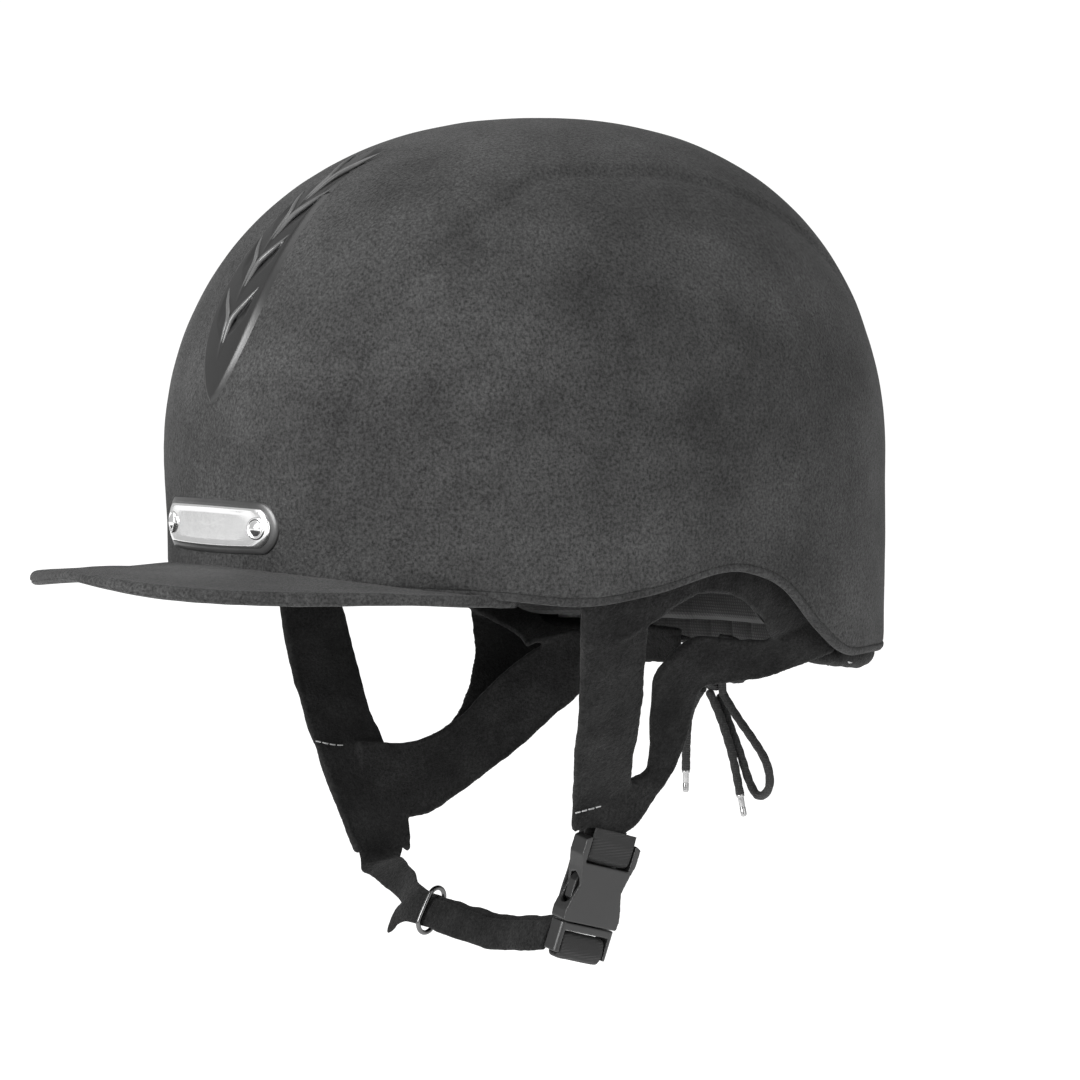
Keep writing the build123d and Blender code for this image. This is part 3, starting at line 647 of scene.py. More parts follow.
# ---- Shell cover ----
CREASE_ANGLE = (-14, 6, 21, 34, 51, 66, 80, 96, 113, 131, 151, 170)
CREASE_REACH = (141, 133.6, 132, 129, 123, 120.8, 114.9, 112.5, 112.5, 114.8, 118, 124)
CREASE_CENTRE_Z = 40.0
PANEL_STEP = 1.6
BAND_RISE = 1.4


def crease_drop(points):
    """How far each point of the cover lies under the egg: the side panels sit a little lower."""
    forward, rise = -points[..., 1], points[..., 2] - CREASE_CENTRE_Z
    angle = np.degrees(np.arctan2(rise, forward))
    inside = through(CREASE_ANGLE, CREASE_REACH, angle) - np.hypot(forward, rise)
    step = smoothstep(0.0, 4.0, inside)
    groove = np.exp(-(((inside - 3.4) / 1.5) ** 2)) * 0.45
    fade = smoothstep(-16, 6, angle) * (1 - smoothstep(128, 158, angle))
    return (PANEL_STEP * step * np.exp(-np.clip(inside, 0, None) / 60.0) + groove) * fade - BAND_RISE * fade


def shell_cover():
    """The suede skin, turned under at the rim and open under the vent strip."""
    turns = np.linspace(0, 2 * math.pi, 360, endpoint=False)
    rim = rim_z(shell_points(turns, np.zeros_like(turns))[:, 1]) + TRIM_HEIGHT
    rows = []
    for inset, lift in ((3.6, 3.0), (3.6, 1.0), (3.0, 0.1), (1.8, -0.3), (0.7, 0.0), (0.15, 0.8)):
        rows.append(shell_points(turns, rim + lift, inset))
    for share in np.linspace(0.03, 1, 60):
        rows.append(shell_points(turns, rim + 1.5 + (SIDE_TOP - rim - 1.5) * share))
    for angle in np.linspace(1, 89.6, 110):
        z = SIDE_TOP + (TOP - SIDE_TOP) * math.sin(math.radians(angle))
        rows.append(shell_points(turns, np.full_like(turns, z)))
    grid = np.array(rows)
    drop = crease_drop(grid)
    centre = np.array([0, 0, 30.0])
    direction = grid - centre
    direction[..., 2] *= 0.55
    grid[6:] -= (unit(direction) * drop[..., None])[6:]
    x, z = grid[..., 0], grid[..., 2]
    leaf = vent_half_width(z) - 3.5
    inside = (np.abs(x) < leaf) & (grid[..., 1] < 0) & (z > 78) & (z < 152)
    skip = inside[:-1] & np.roll(inside, -1, 1)[:-1] & inside[1:]
    skip = np.vstack([skip, np.zeros((1, skip.shape[1]), bool)])
    cover = grid_object("cover_suede", grid, close_columns=True, skip=skip)
    bm = bmesh.new()
    bm.from_mesh(cover.data)
    crown = [v for v in bm.verts if v.co.z > (TOP - 0.02) * MM]
    bmesh.ops.contextual_create(bm, geom=crown)
    bmesh.ops.recalc_face_normals(bm, faces=bm.faces)
    bm.to_mesh(cover.data)
    bm.free()
    cover.data.polygons.foreach_set("use_smooth", [True] * len(cover.data.polygons))
    rumple(cover, [(34.0, 0.3), (11.0, 0.12)])
    return dress(cover, "suede_cover", "shell_cover")


# ---- Vent strip ----
VENT_LOW, VENT_HIGH, VENT_HALF = 66.0, 160.0, 17.0
VENT_RAISE = 2.6
VENT_ROWS = (97.0, 116.5, 133.0, 147.0)
VENT_SHARES = (0.0, 0.05, 0.12, 0.22, 0.36, 0.55, 0.75, 0.9, 0.97, 1.0)
VENT_WIDTHS = (0.04, 0.36, 0.62, 0.86, 1.0, 0.94, 0.74, 0.5, 0.33, 0.02)


def vent_half_width(z):
    """Half the strip's width at height z."""
    share = np.clip((z - VENT_LOW) / (VENT_HIGH - VENT_LOW), 0, 1)
    inside = (z > VENT_LOW) & (z < VENT_HIGH)
    return np.where(inside, VENT_HALF * through(VENT_SHARES, VENT_WIDTHS, share), 0.02)


def vent_rise(x, y, z):
    """The direction that stands the strip off the shell, not scaled to length 1."""
    upward = 1.4 * np.clip(z - SIDE_TOP, 0, None) / (TOP - SIDE_TOP)
    return np.stack([x / HALF_WIDTH, y / FRONT, upward], -1)


def vent_strip():
    """A raised leaf with wide bevels and four chevron scales that overlap like tiles."""
    zs = VENT_LOW + (VENT_HIGH - VENT_LOW) * np.linspace(0, 1, 420)
    us = np.linspace(-1, 1, 151)
    half = vent_half_width(zs)[:, None]
    x, z = us[None, :] * half, np.repeat(zs[:, None], len(us), 1)
    bevel = smoothstep(0.0, 1.0, np.clip((1 - np.abs(us[None, :])) * half / 5.2, 0, 1))
    height = 0.25 + (VENT_RAISE - 0.25) * bevel
    hole = np.zeros_like(x, bool)
    core = smoothstep(0.0, 1.0, (half * 0.66 - np.abs(x)) / 1.0)
    for apex in VENT_ROWS:
        reach = (apex - VENT_LOW) / (VENT_HIGH - VENT_LOW)
        wide = 8.4 - 2.6 * reach
        below = apex + 0.95 * np.abs(x) - z
        lip = apex + 0.95 * np.abs(x) - 6.0 * np.clip(1 - np.abs(x) / wide, 0, 1)
        inset = (z < apex + 0.95 * np.abs(x)) & (z > lip) & (np.abs(x) < wide) & (np.abs(x) > 1.3)
        ledge = np.clip(1 - np.abs(below) / 9.0, 0, 1) * (below > 0) * smoothstep(wide + 2.5, wide - 1.0, np.abs(x))
        height -= 1.1 * ledge * core
        height = np.where(inset, height - 2.2, height)
        hole |= (
            (below > 1.2)
            & (z > lip + 1.1)
            & (np.abs(x) > 2.1)
            & (np.abs(x) < wide - 1.3)
        )
        tongue = np.exp(-((x / 1.1) ** 2)) * smoothstep(15, 2, below) * (below > -1)
        height += 0.7 * tongue
    height = np.clip(height, 0.12, VENT_RAISE + 0.4)
    y = front_y(x, z, 0.0)
    rise = vent_rise(x, y, z)
    grid = np.stack([x, y, z], -1) + unit(rise) * height[..., None]
    strip = grid_object("vent_strip_moulding", grid, skip=hole)
    edge = strip.modifiers.new("wall", "SOLIDIFY")
    edge.thickness, edge.offset = 0.0007, -1.0
    outward(strip)
    apply_modifiers(strip)
    return dress(strip, "satin_plastic", "vent_strip")


def vent_facets():
    """The raised lips of the chevrons, tapering to points, in a lighter copy of the strip's satin plastic: a painted
    highlight.
    """
    lips = []
    for apex in VENT_ROWS:
        reach = (apex - VENT_LOW) / (VENT_HIGH - VENT_LOW)
        wide = 11.6 - 4.4 * reach
        for side in (-1, 1):
            knots = [(0.5, apex - 11.0), (0.9, apex - 4.0), (1.5, apex + 0.8)]
            knots += [(wide * 0.6, apex + 0.62 * wide), (wide, apex + 1.15 * wide)]
            x = through(range(5), [side * k[0] for k in knots], np.linspace(0, 4, 60))
            z = through(range(5), [k[1] for k in knots], np.linspace(0, 4, 60))
            y = front_y(x, z, 0.0)
            rise = unit(vent_rise(x, y, z))
            share = np.linspace(0, 1, 60)
            radius = 0.12 + 0.95 * np.sin(math.pi * share) ** 0.8
            lips.append(tube("lip", np.stack([x, y, z], -1) + rise * 2.35, radius, 10))
    return dress(join("vent_chevron_lips", lips), "satin_plastic_painted_highlight", slot="satin_plastic")


shell_cover()
vent_strip()
vent_facets()


def rim_binding():
    """The soft edge binding that follows the rim."""
    turns = np.linspace(0, 2 * math.pi, 360, endpoint=False)
    rim = rim_z(shell_points(turns, np.zeros_like(turns))[:, 1])
    section = [(3.7, 3.0), (3.9, 1.6), (3.3, 0.5), (2.2, 0.05), (1.0, 0.3), (0.3, 1.2), (0.15, 2.2), (0.5, 3.0)]
    grid = np.array([shell_points(turns, rim + lift, inset) for inset, lift in section])
    binding = grid_object("rim_binding", grid, close_rows=True, close_columns=True)
    outward(binding)
    return dress(binding, "edge_trim", "rim_trim")


rim_binding()

# ---- Peak ----
PEAK_Y, PEAK_LENGTH, PEAK_HALF, PEAK_POWER = -94.0, 110.0, 93.0, 2.3
EDGE_ANGLES = (0, 23, 36, 55, 71, 90, 97)
EDGE_TOPS = (11.6, 9.2, 8.0, 6.8, 6.0, 3.6, 2.8)
EDGE_THICKNESSES = (3.4, 5.2, 5.2, 4.8, 4.4, 4.0, 4.0)


def peak():
    """The suede-covered board: a soft top, a rounded edge with a seam, and an underside."""
    sweep = np.radians(np.linspace(-96, 96, 240))
    turn = sweep * (54.0 / 95.0)
    inner = shell_points(turn, np.full_like(turn, 8.0), 2.0)[:, :2]
    blunt = 2 / PEAK_POWER
    across = np.sign(np.sin(sweep)) * np.abs(np.sin(sweep)) ** blunt
    along = np.sign(np.cos(sweep)) * np.abs(np.cos(sweep)) ** blunt
    outer = np.stack([PEAK_HALF * across, PEAK_Y - PEAK_LENGTH * along], -1)
    aside = np.abs(np.degrees(sweep))
    thick = through(EDGE_ANGLES, EDGE_THICKNESSES, aside)
    edge_top = through(EDGE_ANGLES, EDGE_TOPS, aside)
    inner_top = 11.2 - 8.0 * (np.abs(inner[:, 0]) / 92.0) ** 2.4
    rows = [(share, 0.0, 0.0) for share in np.linspace(0, 1, 40)]
    for angle in np.linspace(0, 180, 21)[1:-1]:
        notch = 0.16 if abs(angle - 118) < 8 else 0.0
        rows.append((1.0, math.sin(math.radians(angle)) - notch, (1 - math.cos(math.radians(angle))) / 2))
    rows += [(share, 0.0, 1.0) for share in np.linspace(1, 0, 30)]
    edge = unit(outer - inner)
    grid = []
    for share, bulge, down in rows:
        flat = inner + (outer - inner) * share**0.9
        flat = flat + edge * (thick[:, None] / 2) * (bulge - 1.0) * share
        crown = -0.5 * math.sin(math.pi * share) if down == 0 else 0.0
        z = inner_top + (edge_top - inner_top) * share - thick * down + crown
        grid.append(np.concatenate([flat, z[:, None]], -1))
    made = grid_object("peak_suede", np.array(grid), close_rows=True)
    bm = bmesh.new()
    bm.from_mesh(made.data)
    bmesh.ops.holes_fill(bm, edges=[e for e in bm.edges if e.is_boundary])
    bmesh.ops.recalc_face_normals(bm, faces=bm.faces)
    bm.to_mesh(made.data)
    bm.free()
    rumple(made, [(22.0, 0.3), (8.0, 0.12)])
    return dress(made, "suede_cover", "peak_cover", "peak_core")


peak()

# ---- Badge ----
BADGE_Z = 25.5


def badge_layer(name, width, height, low, high, edge, dish, look, node):
    """An oval plate on the shell's front with a rounded edge and a shallow dish."""
    turns = np.linspace(0, 2 * math.pi, 160, endpoint=False)
    half, radius = width / 2, height / 2
    straight = half - radius
    px = radius * np.cos(turns) + straight * np.clip(np.cos(turns) * 3, -1, 1)
    pz = radius * np.sin(turns)
    rows = [(1.0, low), (1.0, low + (high - low) * 0.5)]
    for angle in (20, 45, 70, 90):
        a = math.radians(angle)
        rows.append((1 - edge * (1 - math.cos(a)), low + (high - low) * (0.5 + 0.5 * math.sin(a))))
    for share in np.linspace(0.95, 0.0, 16):
        inner = share * (1 - edge)
        rows.append((inner, high - dish * smoothstep(1.0, 0.75, share)))
    grid = []
    for share, lift in rows:
        x, z = px * share, BADGE_Z + pz * share
        y = front_y(x, z, 0.0)
        rise = unit(np.stack([x / HALF_WIDTH**2, y / FRONT**2, 0 * x], -1))
        grid.append(np.stack([x, y, z], -1) + rise * lift)
    made = grid_object(name, np.array(grid), close_columns=True)
    outward(made)
    return dress(made, look, node)


def badge_pins():
    """A low dome in a ring at each end of the plate."""
    pins = []
    for side in (-1, 1):
        x = side * 27.5
        y = float(front_y(np.array(x), np.array(BADGE_Z)))
        normal = unit(np.array([x / HALF_WIDTH**2, y / FRONT**2, 0.0]))
        base = np.array([x, y, BADGE_Z])
        profile = [(2.2, 4.0), (3.0, 4.0), (3.25, 3.7), (3.2, 3.2), (2.9, 2.9)]
        profile += [(3.1, 2.5), (3.7, 1.6), (3.95, 0.7), (4.0, 0.02)]
        centre = np.array([base + normal * s for s, _ in profile])
        pins.append(grid_object("pin", tube_ring_stack(centre, normal, [r for _, r in profile]), close_columns=True))
    return dress(outward(join("badge_pins", pins)), "chrome", "badge_rivets")


def tube_ring_stack(centres, axis, radii, sides=40):
    """Rings of given radii, all square to one axis."""
    side = unit(np.cross(axis, (0.0, 0.0, 1.0)))
    other = np.cross(axis, side)
    a = np.linspace(0, 2 * math.pi, sides, endpoint=False)
    return np.array(
        [c + r * (np.outer(np.cos(a), side) + np.outer(np.sin(a), other)) for c, r in zip(centres, radii)]
    )


badge_layer("badge_surround", 72.0, 19.0, 0.0, 1.7, 0.16, 0.3, "gloss_black", "badge_gasket")
badge_layer("badge_face", 66.0, 14.6, 1.2, 2.7, 0.1, 0.25, "chrome", "badge_plate")
badge_pins()

# ---- Harness panels: edge points as in the CAD, except LEFT_ARM, LEFT_TAIL and RIGHT_WEB ----
LEFT_STRAP = [
    ((100.9, -57, 12), (105.2, -31, 12)), ((100.2, -57, 0), (103.4, -31, 0)), ((90.0, -50, -35), (91.0, -24, -35)),
    ((79.0, -44, -56), (79.0, -19, -56)), ((70.0, -38, -72), (69.0, -14, -72)), ((66.5, -36, -84), (66.0, -13, -86)),
]
LEFT_ARM = [
    ((69.0, -24.8, -70.5), (68.0, -24.0, -86.9)), ((70.0, -10.6, -67.9), (68.0, -12.2, -86.1)),
    ((71.0, -4.5, -63.9), (70.0, -2.8, -75.3)), ((73.0, -5.1, -50.9), (72.0, 5.4, -63.4)),
    ((75.0, -6.3, -38.2), (74.0, 10.2, -49.8)), ((78.0, -5.0, -27.0), (77.0, 13.0, -36.2)),
    ((84.0, 6.8, -16.5), (83.0, 20.2, -33.2)), ((90.0, 21.9, -17.8), (90.0, 33.2, -31.2)),
    ((96.0, 37.0, -17.0), (95.0, 45.0, -27.2)), ((97.0, 50.0, -12.0), (96.5, 60.0, -23.0)),
]
LEFT_TAIL = [
    ((80.0, 12.0, -20.0), (78.0, 22.0, -33.0)), ((70.0, 30.0, -24.0), (70.0, 38.0, -36.0)),
    ((54.0, 50, -24), (54.0, 54, -37)), ((36.0, 66, -23), (36.0, 69, -36)), ((13.0, 75, -23), (13.0, 77, -36)),
]
RIGHT_STRAP = [
    ((-100.9, -57, 12), (-105.4, -29, 12)), ((-100.2, -56, 0), (-103.6, -28, 0)),
    ((-93.0, -55, -30), (-94.0, -25, -30)), ((-84.0, -54, -53), (-84.0, -24, -53)),
    ((-76.0, -51, -72), (-76.0, -20, -72)), ((-69.0, -46, -94), (-69.0, -16, -96)),
    ((-66.2, -41.8, -106), (-66.0, -17, -107.5)),
]
RIGHT_ARM = [
    ((-75.0, -34, -66), (-71.0, -34, -92)), ((-73.0, -8, -67), (-70.0, -12, -96)), ((-74.0, 12, -60), (-72.0, 10, -89)),
    ((-74.0, 30, -46), (-72.0, 36, -75)), ((-69.0, 48, -33), (-67.0, 58, -58)), ((-57.0, 62, -26), (-55.0, 68, -44)),
    ((-36.0, 69, -23), (-36.0, 72, -37)), ((-13.0, 75, -23), (-13.0, 77, -36)),
]
RIGHT_WEB = [
    ((-99.0, 33, -4), (-99.0, 84, -6)), ((-96.0, 34, -20), (-94.0, 82, -22)), ((-90.0, 31, -36), (-86.0, 72, -36)),
    ((-82.0, 20, -54), (-79.0, 60, -52)), ((-76.0, 2, -68), (-74.0, 40, -66)),
]
CORNER = {1: ((62.0, 28, -27), (54.0, 50, -24)), -1: ((-69.0, 48, -33), (-57.0, 62, -26))}


def arch_stations(side):
    """The band under the ear arch, then its rear corner running in towards the nape."""
    top, low = CORNER[side]
    return [
        ((side * 103.4, -44, 13), (side * 99.5, -40, -14)), ((side * 104.6, -32, 14), (side * 100.8, -30, -9)),
        ((side * 105.8, -14, 17), (side * 103.6, -12, 1)), ((side * 106.2, 8, 18.5), (side * 104.2, 6, 1)),
        ((side * 105.2, 24, 13), (side * 101.6, 22, -8)), ((side * 100.0, 48, -6), (side * 95.6, 32, -17)),
        ((side * 90.0, 58, -17), (side * 86.0, 42, -24)),
        (((top[0] + low[0]) / 2 + side * 10, 58, -24), (top[0] + side * 8, 44, -28)),
        ((low[0], low[1] + 2, -26), (top[0], 42, -31)),
    ]


def edge_line(stations, which, inset):
    """A line that runs `inset` inside one edge of a band."""
    first, second = spline([s[0] for s in stations], 12), spline([s[1] for s in stations], 12)
    across = unit(second - first)
    return first + across * inset if which == 0 else second - across * inset


def stitches(name, line, normal_offset, length, gap, radius, look):
    """A row of separate stitches along a line, lifted off the surface."""
    line, total = even(line + normal_offset, 0.3)
    count = int(total / (length + gap))
    parts = []
    for i in range(count):
        start = int(i * (length + gap) / total * (len(line) - 1))
        end = int((i * (length + gap) + length) / total * (len(line) - 1))
        part = line[start : end + 1]
        if len(part) > 3:
            parts.append(tube("stitch", part, radius, 8))
    return dress(join(name, parts), look, slot="none" if look == "thread" else None)


def harness_panel(side, strap, arm, extra, name):
    """One padded side of the harness: its bands melted into a single soft panel, with rolled edges."""
    bands = [
        band("extra", extra, 2.7, power=3.0),
        band("strap", strap, 2.9, power=3.0),
        band("arm", arm, 2.7, power=3.0),
        band("arch", arch_stations(side), 2.7, power=3.0),
    ]
    rolls = [
        (edge_line(strap, 0, 1.0), 1.7), (edge_line(strap, 0, 4.2), 1.55), (edge_line(strap, 1, 0.9), 1.5),
        (edge_line(arm, 0, 0.8), 1.4), (edge_line(arm, 1, 0.8), 1.45), (edge_line(arch_stations(side), 1, 0.8), 1.4),
    ]
    bands += [tube("roll", line, radius, 10) for line, radius in rolls]
    panel = fuse(join(name, bands), 0.8, 5)
    rumple(panel, [(9.0, 0.55), (3.2, 0.22), (30.0, 0.6)])
    return dress(panel, "harness_suede", "harness_panel_" + ("left" if side > 0 else "right"))


harness_panel(1, LEFT_STRAP, LEFT_ARM, LEFT_TAIL, "harness_left")
harness_panel(-1, RIGHT_STRAP, RIGHT_ARM, RIGHT_WEB, "harness_right")
left_row = spline([(68.6, -37.2, -78.0), (68.2, -26, -76.5), (68.0, -14.5, -74.0)], 20)
stitches("bar_tack_left", left_row, np.array([1.6, -0.3, 0.0]), 2.0, 1.2, 0.3, "thread")
right_row = spline([(-78.4, -52.5, -64.5), (-78.2, -44, -66.5), (-77.8, -36, -67.0)], 20)
stitches("bar_tack_right", right_row, np.array([1.7, -0.3, 0.0]), 2.0, 1.4, 0.28, "thread")

# ---- Buckle: its upright frame, then placed as in the CAD ----
BUCKLE = Matrix.Translation((62.0, -28.0, -120.0)) @ (
    Matrix.Rotation(math.radians(-15.0), 4, "X") @ Matrix.Rotation(math.radians(8.0), 4, "Y")
)


def in_buckle(points):
    """Points of the buckle's upright frame, in the helmet's."""
    return np.array([(BUCKLE @ Vector(p))[:] for p in points])


def moulded(name, node, body, voxel=0.32):
    """A CAD plastic part with the soft edges that a mould leaves."""
    copy = bpy.data.objects.new(name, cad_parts[node].data.copy())
    bpy.context.scene.collection.objects.link(copy)
    copy.data.materials.clear()
    fuse(copy, voxel, 4)
    return dress(copy, "satin_plastic", node, body=body)


moulded("socket_moulding", "buckle_socket", "root")
moulded("plug_moulding", "buckle_plug", "plug")
moulded("prong_front_moulding", "prong_front", "prong_front", 0.25)
moulded("prong_rear_moulding", "prong_rear", "prong_rear", 0.25)


def webbing(name, path, node, body, width=19.0, thickness=1.6):
    """Flat webbing that follows an (x, z) path in the buckle's frame."""
    line = spline([(x, 0.0, z) for x, z in path], 8)
    half = np.array([0, width / 2, 0])
    stations = [(tuple(a), tuple(b)) for a, b in zip(in_buckle(line - half), in_buckle(line + half))]
    strip = band(name, stations, thickness, per_span=2, sides=40, power=4.0)
    rumple(strip, [(6.0, 0.25)])
    return dress(strip, "webbing", node, body=body)


hang = 3.1
webbing(
    "hanger_webbing",
    [
        (-hang, 35.4), (-hang, 30), (-hang, 26), (-2.2, 23.9), (0, 23.4),
        (2.2, 23.9), (hang, 26), (hang, 30), (hang, 35.4),
    ],
    "buckle_hanger",
    "root",
)
webbing("backing_webbing", [(-6.0, 35.4), (-6.0, 24), (-6.1, 12), (-6.0, 1.0)], "buckle_backing", "root")
webbing(
    "plug_webbing",
    [
        (0, -4.4), (-2.4, -5.0), (-hang, -7.5), (-hang, -10.5), (-2.0, -12.7), (0, -13.0),
        (2.0, -12.7), (hang, -10.5), (hang, -7.5), (2.4, -5.0), (0, -4.4),
    ],
    "plug_strap_fold",
    "plug",
)

# ---- Chin strap and keeper ring ----
TILT = np.array([0.0, 0.45, 0.893])
CHIN_HALF = 5.75


def tilted(x, y, z):
    """The lower and upper edge points of the tilted strap at one station."""
    middle = np.array([x, y, z])
    return (tuple(middle - TILT * CHIN_HALF), tuple(middle + TILT * CHIN_HALF))


CHIN = [
    ((-66.8, -41.0, -103.5), (-66.4, -19.0, -104.5)), ((-65.0, -40.5, -109.5), (-64.4, -22.0, -109.5)),
    ((-61.0, -42.0, -114.0), (-59.0, -26.0, -111.0)),
    ((-48.5, -43.5, -116.0), (-47.0, -32.5, -108.5)), ((-32.5, -45.0, -121.0), (-31.5, -38.0, -111.0)),
    tilted(-14.0, -46.2, -120.8), tilted(20.0, -39.5, -125.5), tilted(36.0, -36.0, -125.0), tilted(51.5, -33.0, -122.5),
]
FOLD = [
    tilted(-27.0, -50.5, -127.5), tilted(-14.0, -49.2, -122.2), tilted(20.0, -42.5, -126.9),
    tilted(36.0, -39.0, -126.6), tilted(51.5, -36.0, -124.4),
]
STRAPS = (("chin_strap_suede", CHIN, "chin_strap"), ("chin_fold_suede", FOLD, "chin_strap_fold"))
for strap_name, route, node in STRAPS:
    strap = band(strap_name, route, 2.3, per_span=26, sides=48, power=2.6)
    rumple(strap, [(7.0, 0.5), (2.5, 0.18)])
    dress(strap, "harness_suede", node, body=None, slot="webbing")
    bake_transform(strap)


def keeper_ring():
    """A thin polished oval ring."""
    axis = unit(np.array([34.0, 6.7, -4.7]))
    long_way = unit(TILT - axis * TILT.dot(axis))
    short_way = np.cross(axis, long_way)
    centre = np.array([-8.0, -46.4, -122.2])
    a = np.linspace(0, 2 * math.pi, 120, endpoint=False)
    offset = 4.6 * np.sign(np.cos(a)) * smoothstep(0, 0.35, np.abs(np.cos(a)))
    line = centre + np.outer(4.25 * np.cos(a) + offset, long_way) + np.outer(4.25 * np.sin(a), short_way)
    along = unit(np.roll(line, -1, 0) - np.roll(line, 1, 0))
    b = np.linspace(0, 2 * math.pi, 18, endpoint=False)
    rings = []
    for point, tangent in zip(line, along):
        side = np.cross(tangent, axis)
        rings.append(point + 0.92 * (np.outer(np.cos(b), side) + np.outer(np.sin(b), axis)))
    ring = grid_object("keeper_ring_polished", np.array(rings), close_rows=True, close_columns=True)
    outward(ring)
    return dress(ring, "dark_plate", "keeper_ring", body="ring", slot="chrome")


keeper_ring()


# ---- Linings and pads ----
def lining_strip(name, outer, inner, low, high, turns, look, node, quilt):
    """A padded strip inside the shell: low and high are heights at each turn, with sewn channels."""
    count = len(turns)
    rows = []
    for step in range(26):
        share = step / 25
        bulge = math.sin(math.pi * share) ** 0.45
        puff = 0.55 + 0.45 * np.abs(np.sin(turns * quilt)) ** 0.4
        depth = outer - 0.3 + (inner - outer) * bulge * puff + 0.0 * turns
        rows.append(shell_points_each(turns, low + (high - low) * share, depth))
    for step in range(8):
        share = 1 - (step + 0.5) / 8
        rows.append(shell_points_each(turns, low + (high - low) * share, outer + 0.2 + np.zeros(count)))
    strip = grid_object(name, np.array(rows), close_rows=True)
    bm = bmesh.new()
    bm.from_mesh(strip.data)
    bmesh.ops.holes_fill(bm, edges=[e for e in bm.edges if e.is_boundary])
    bmesh.ops.recalc_face_normals(bm, faces=bm.faces)
    bm.to_mesh(strip.data)
    bm.free()
    strip.data.polygons.foreach_set("use_smooth", [True] * len(strip.data.polygons))
    rumple(strip, [(9.0, 0.4)])
    return dress(strip, look, *([node] if node else []))


def shell_points_each(turns, z, inset):
    """Points on the egg with an inset for each point."""
    scale = plan_scale(z, TOP - inset)
    across = np.sign(np.sin(turns)) * np.abs(np.sin(turns)) ** (2 / PLAN_POWER)
    along = np.sign(np.cos(turns)) * np.abs(np.cos(turns)) ** (2 / PLAN_POWER)
    reach = np.where(along > 0, FRONT, BACK) - inset
    return np.stack([(HALF_WIDTH - inset) * scale * across, -reach * scale * along, z], -1)


whole = np.linspace(0, 2 * math.pi - 0.001, 420)
band_low = rim_z(shell_points(whole, np.zeros_like(whole))[:, 1]) + 5.0
band_high = np.full_like(whole, 45.5)
lining_strip("headband_quilt", 27.6, 34.0, band_low, band_high, whole, "comfort_lining", "headband", 9)
nape = np.linspace(math.radians(129), math.radians(231), 260)
nape_low, nape_high = np.full_like(nape, -30.8), np.full_like(nape, -12.2)
lining_strip(
    "nape_lining_knit", 17.7, 21.4, nape_low, nape_high, nape, "comfort_lining", "nape_lining", 30
)
for tab_name, start, end in (("nape_tab_left", 124, 141), ("nape_tab_right", 219, 236)):
    tab = np.linspace(math.radians(start), math.radians(end), 60)
    tab_low, tab_high = np.full_like(tab, -29.0), np.full_like(tab, -12.0)
    lining_strip(tab_name, 7.0, 9.0, tab_low, tab_high, tab, "light_lining", None, 60)


def nape_roll():
    """The padded roll round the back of the rim, thinner towards its ends."""
    turns = np.linspace(math.radians(113), math.radians(247), 220)
    away = np.abs(np.degrees(turns) - 180) / 67.0
    line = shell_points_each(turns, -28.4 + 4.0 * away**5, 7.6 + 5.0 * away**4)
    roll = tube("nape_roll_pad", line, 4.6 - 1.9 * away**4, 28)
    rumple(roll, [(14.0, 0.7), (5.0, 0.3)])
    return dress(roll, "harness_suede", "nape_roll")


nape_roll()


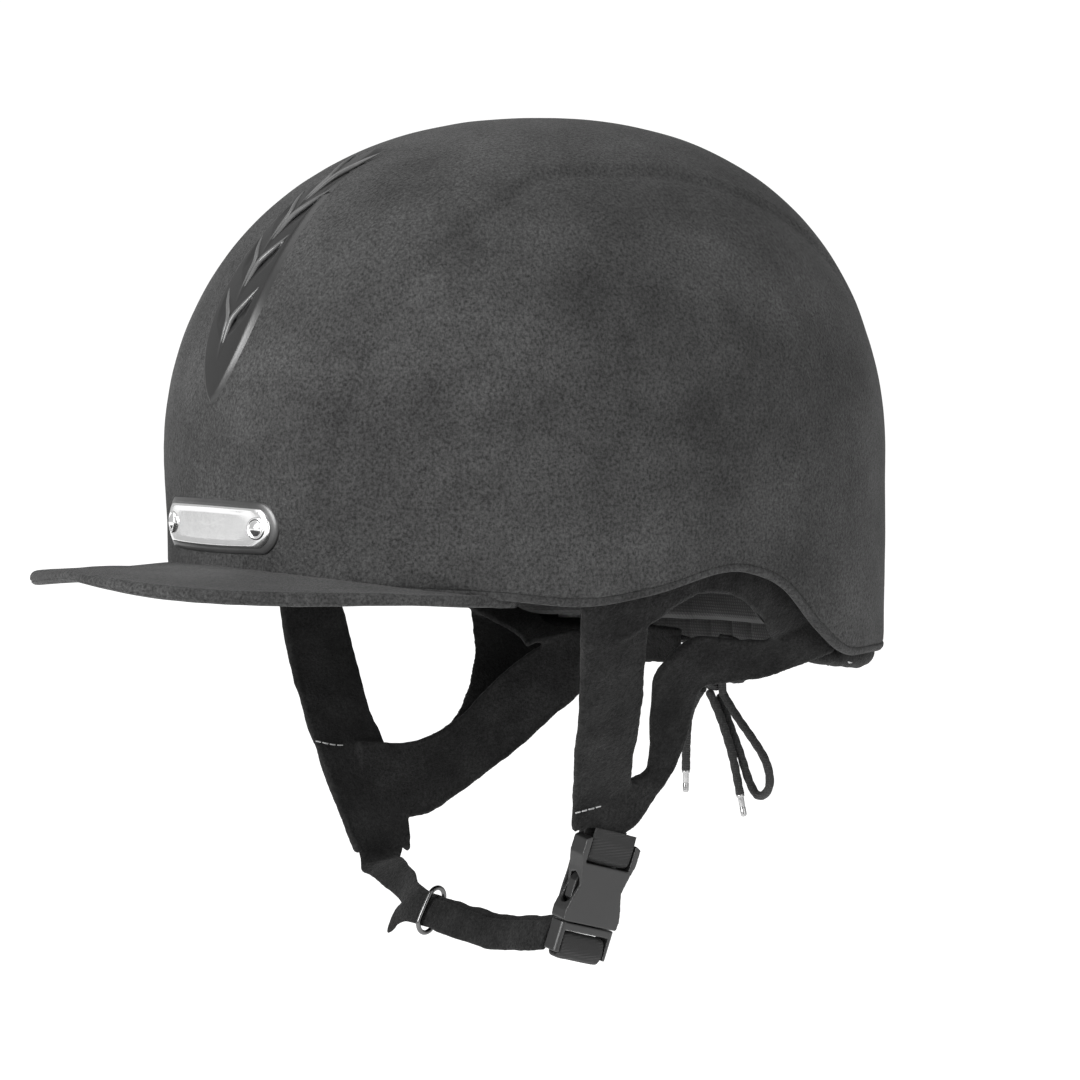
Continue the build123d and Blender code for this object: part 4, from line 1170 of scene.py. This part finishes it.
def crown_pad():
    """A crown pad, swelled as cloth."""
    rows = []
    for share in np.linspace(0, 1, 30):
        a = np.linspace(0, 2 * math.pi, 96, endpoint=False)
        x = 36.0 * share * np.cos(a)
        y = 36.0 * share * np.sin(a) + 23.0 * np.clip(np.sin(a) * 3, -1, 1) * share
        rows.append(np.stack([x, y], -1))
    flat = np.array(rows)
    shells = []
    for inset, bulge in ((27.8, 0.0), (32.4, 1.0)):
        share = np.linspace(0, 1, 30)[:, None]
        thick = inset - bulge * (4.2 * share**6)
        a, b = HALF_WIDTH - thick, np.where(flat[..., 1] < 0, FRONT - thick, BACK - thick)
        plan = (np.abs(flat[..., 0] / a) ** PLAN_POWER + np.abs(flat[..., 1] / b) ** PLAN_POWER) ** (1 / PLAN_POWER)
        top = TOP - thick
        z = SIDE_TOP + (top - SIDE_TOP) * (1 - plan**IN_POWER) ** (1 / UP_POWER)
        shells.append(np.concatenate([flat, z[..., None]], -1))
    grid = np.vstack([shells[0], shells[1][::-1]])
    pad = grid_object("crown_pad_quilt", grid, close_columns=True)
    outward(pad)
    inflate(pad, 5.0, 2.2)
    rumple(pad, [(10.0, 0.4)])
    return dress(pad, "comfort_lining", "crown_pad")


def inflate(obj, voxel, cap):
    """Swell a pad with Blender's cloth, moving no point further than the cap."""
    remesh = obj.modifiers.new("voxels", "REMESH")
    remesh.mode, remesh.voxel_size = "VOXEL", voxel * MM
    apply_modifiers(obj)
    rest = vertices_of(obj)
    cloth = obj.modifiers.new("cloth", "CLOTH")
    cloth.settings.use_pressure = True
    cloth.settings.uniform_pressure_force = 4.0
    cloth.settings.effector_weights.gravity = 0.0
    for number in range(1, 21):
        bpy.context.scene.frame_set(number)
    apply_modifiers(obj)
    moved = vertices_of(obj) - rest
    reach = np.linalg.norm(moved, axis=1, keepdims=True)
    set_vertices(obj, rest + moved * np.minimum(1.0, cap / np.maximum(reach, 1e-6)))
    bpy.context.scene.frame_set(1)
    soften = obj.modifiers.new("soften", "SUBSURF")
    soften.levels = soften.render_levels = 1
    apply_modifiers(obj)


crown_pad()


def eyelet_rings(side, node):
    """Two rolled metal eyelets through an arm's end."""
    turned = math.radians(20.0)
    normal = unit(np.array([side * math.sin(turned), math.cos(turned), 0.12]))
    rings = []
    for z in (-26.5, -33.0):
        centre = np.array([side * 17.5, 74.6 - 0.12 * (z + 30), z]) + normal * 2.4
        section = [(-0.4, 2.6), (0.1, 2.7), (0.45, 2.3), (0.4, 1.9), (0.0, 1.55), (-0.6, 1.5)]
        stack = tube_ring_stack([centre + normal * s for s, _ in section], normal, [r for _, r in section])
        rings.append(grid_object("eyelet", stack, close_rows=True, close_columns=True))
    return dress(outward(join(node + "_rolled", rings)), "steel", node)


eyelet_rings(1, "eyelets_left")
eyelet_rings(-1, "eyelets_right")

# ---- CAD nodes that stay: each takes its material ----
KEPT = {
    "outer_shell": "hard_shell",
    "eps_liner": "foam_liner",
    "vent_mesh": "mesh",
    "anchor_washers": "steel",
    "anchor_rivets": "steel",
}
for node, look in KEPT.items():
    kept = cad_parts[node]
    kept.data.materials.clear()
    kept.data.materials.append(LOOKS[look])
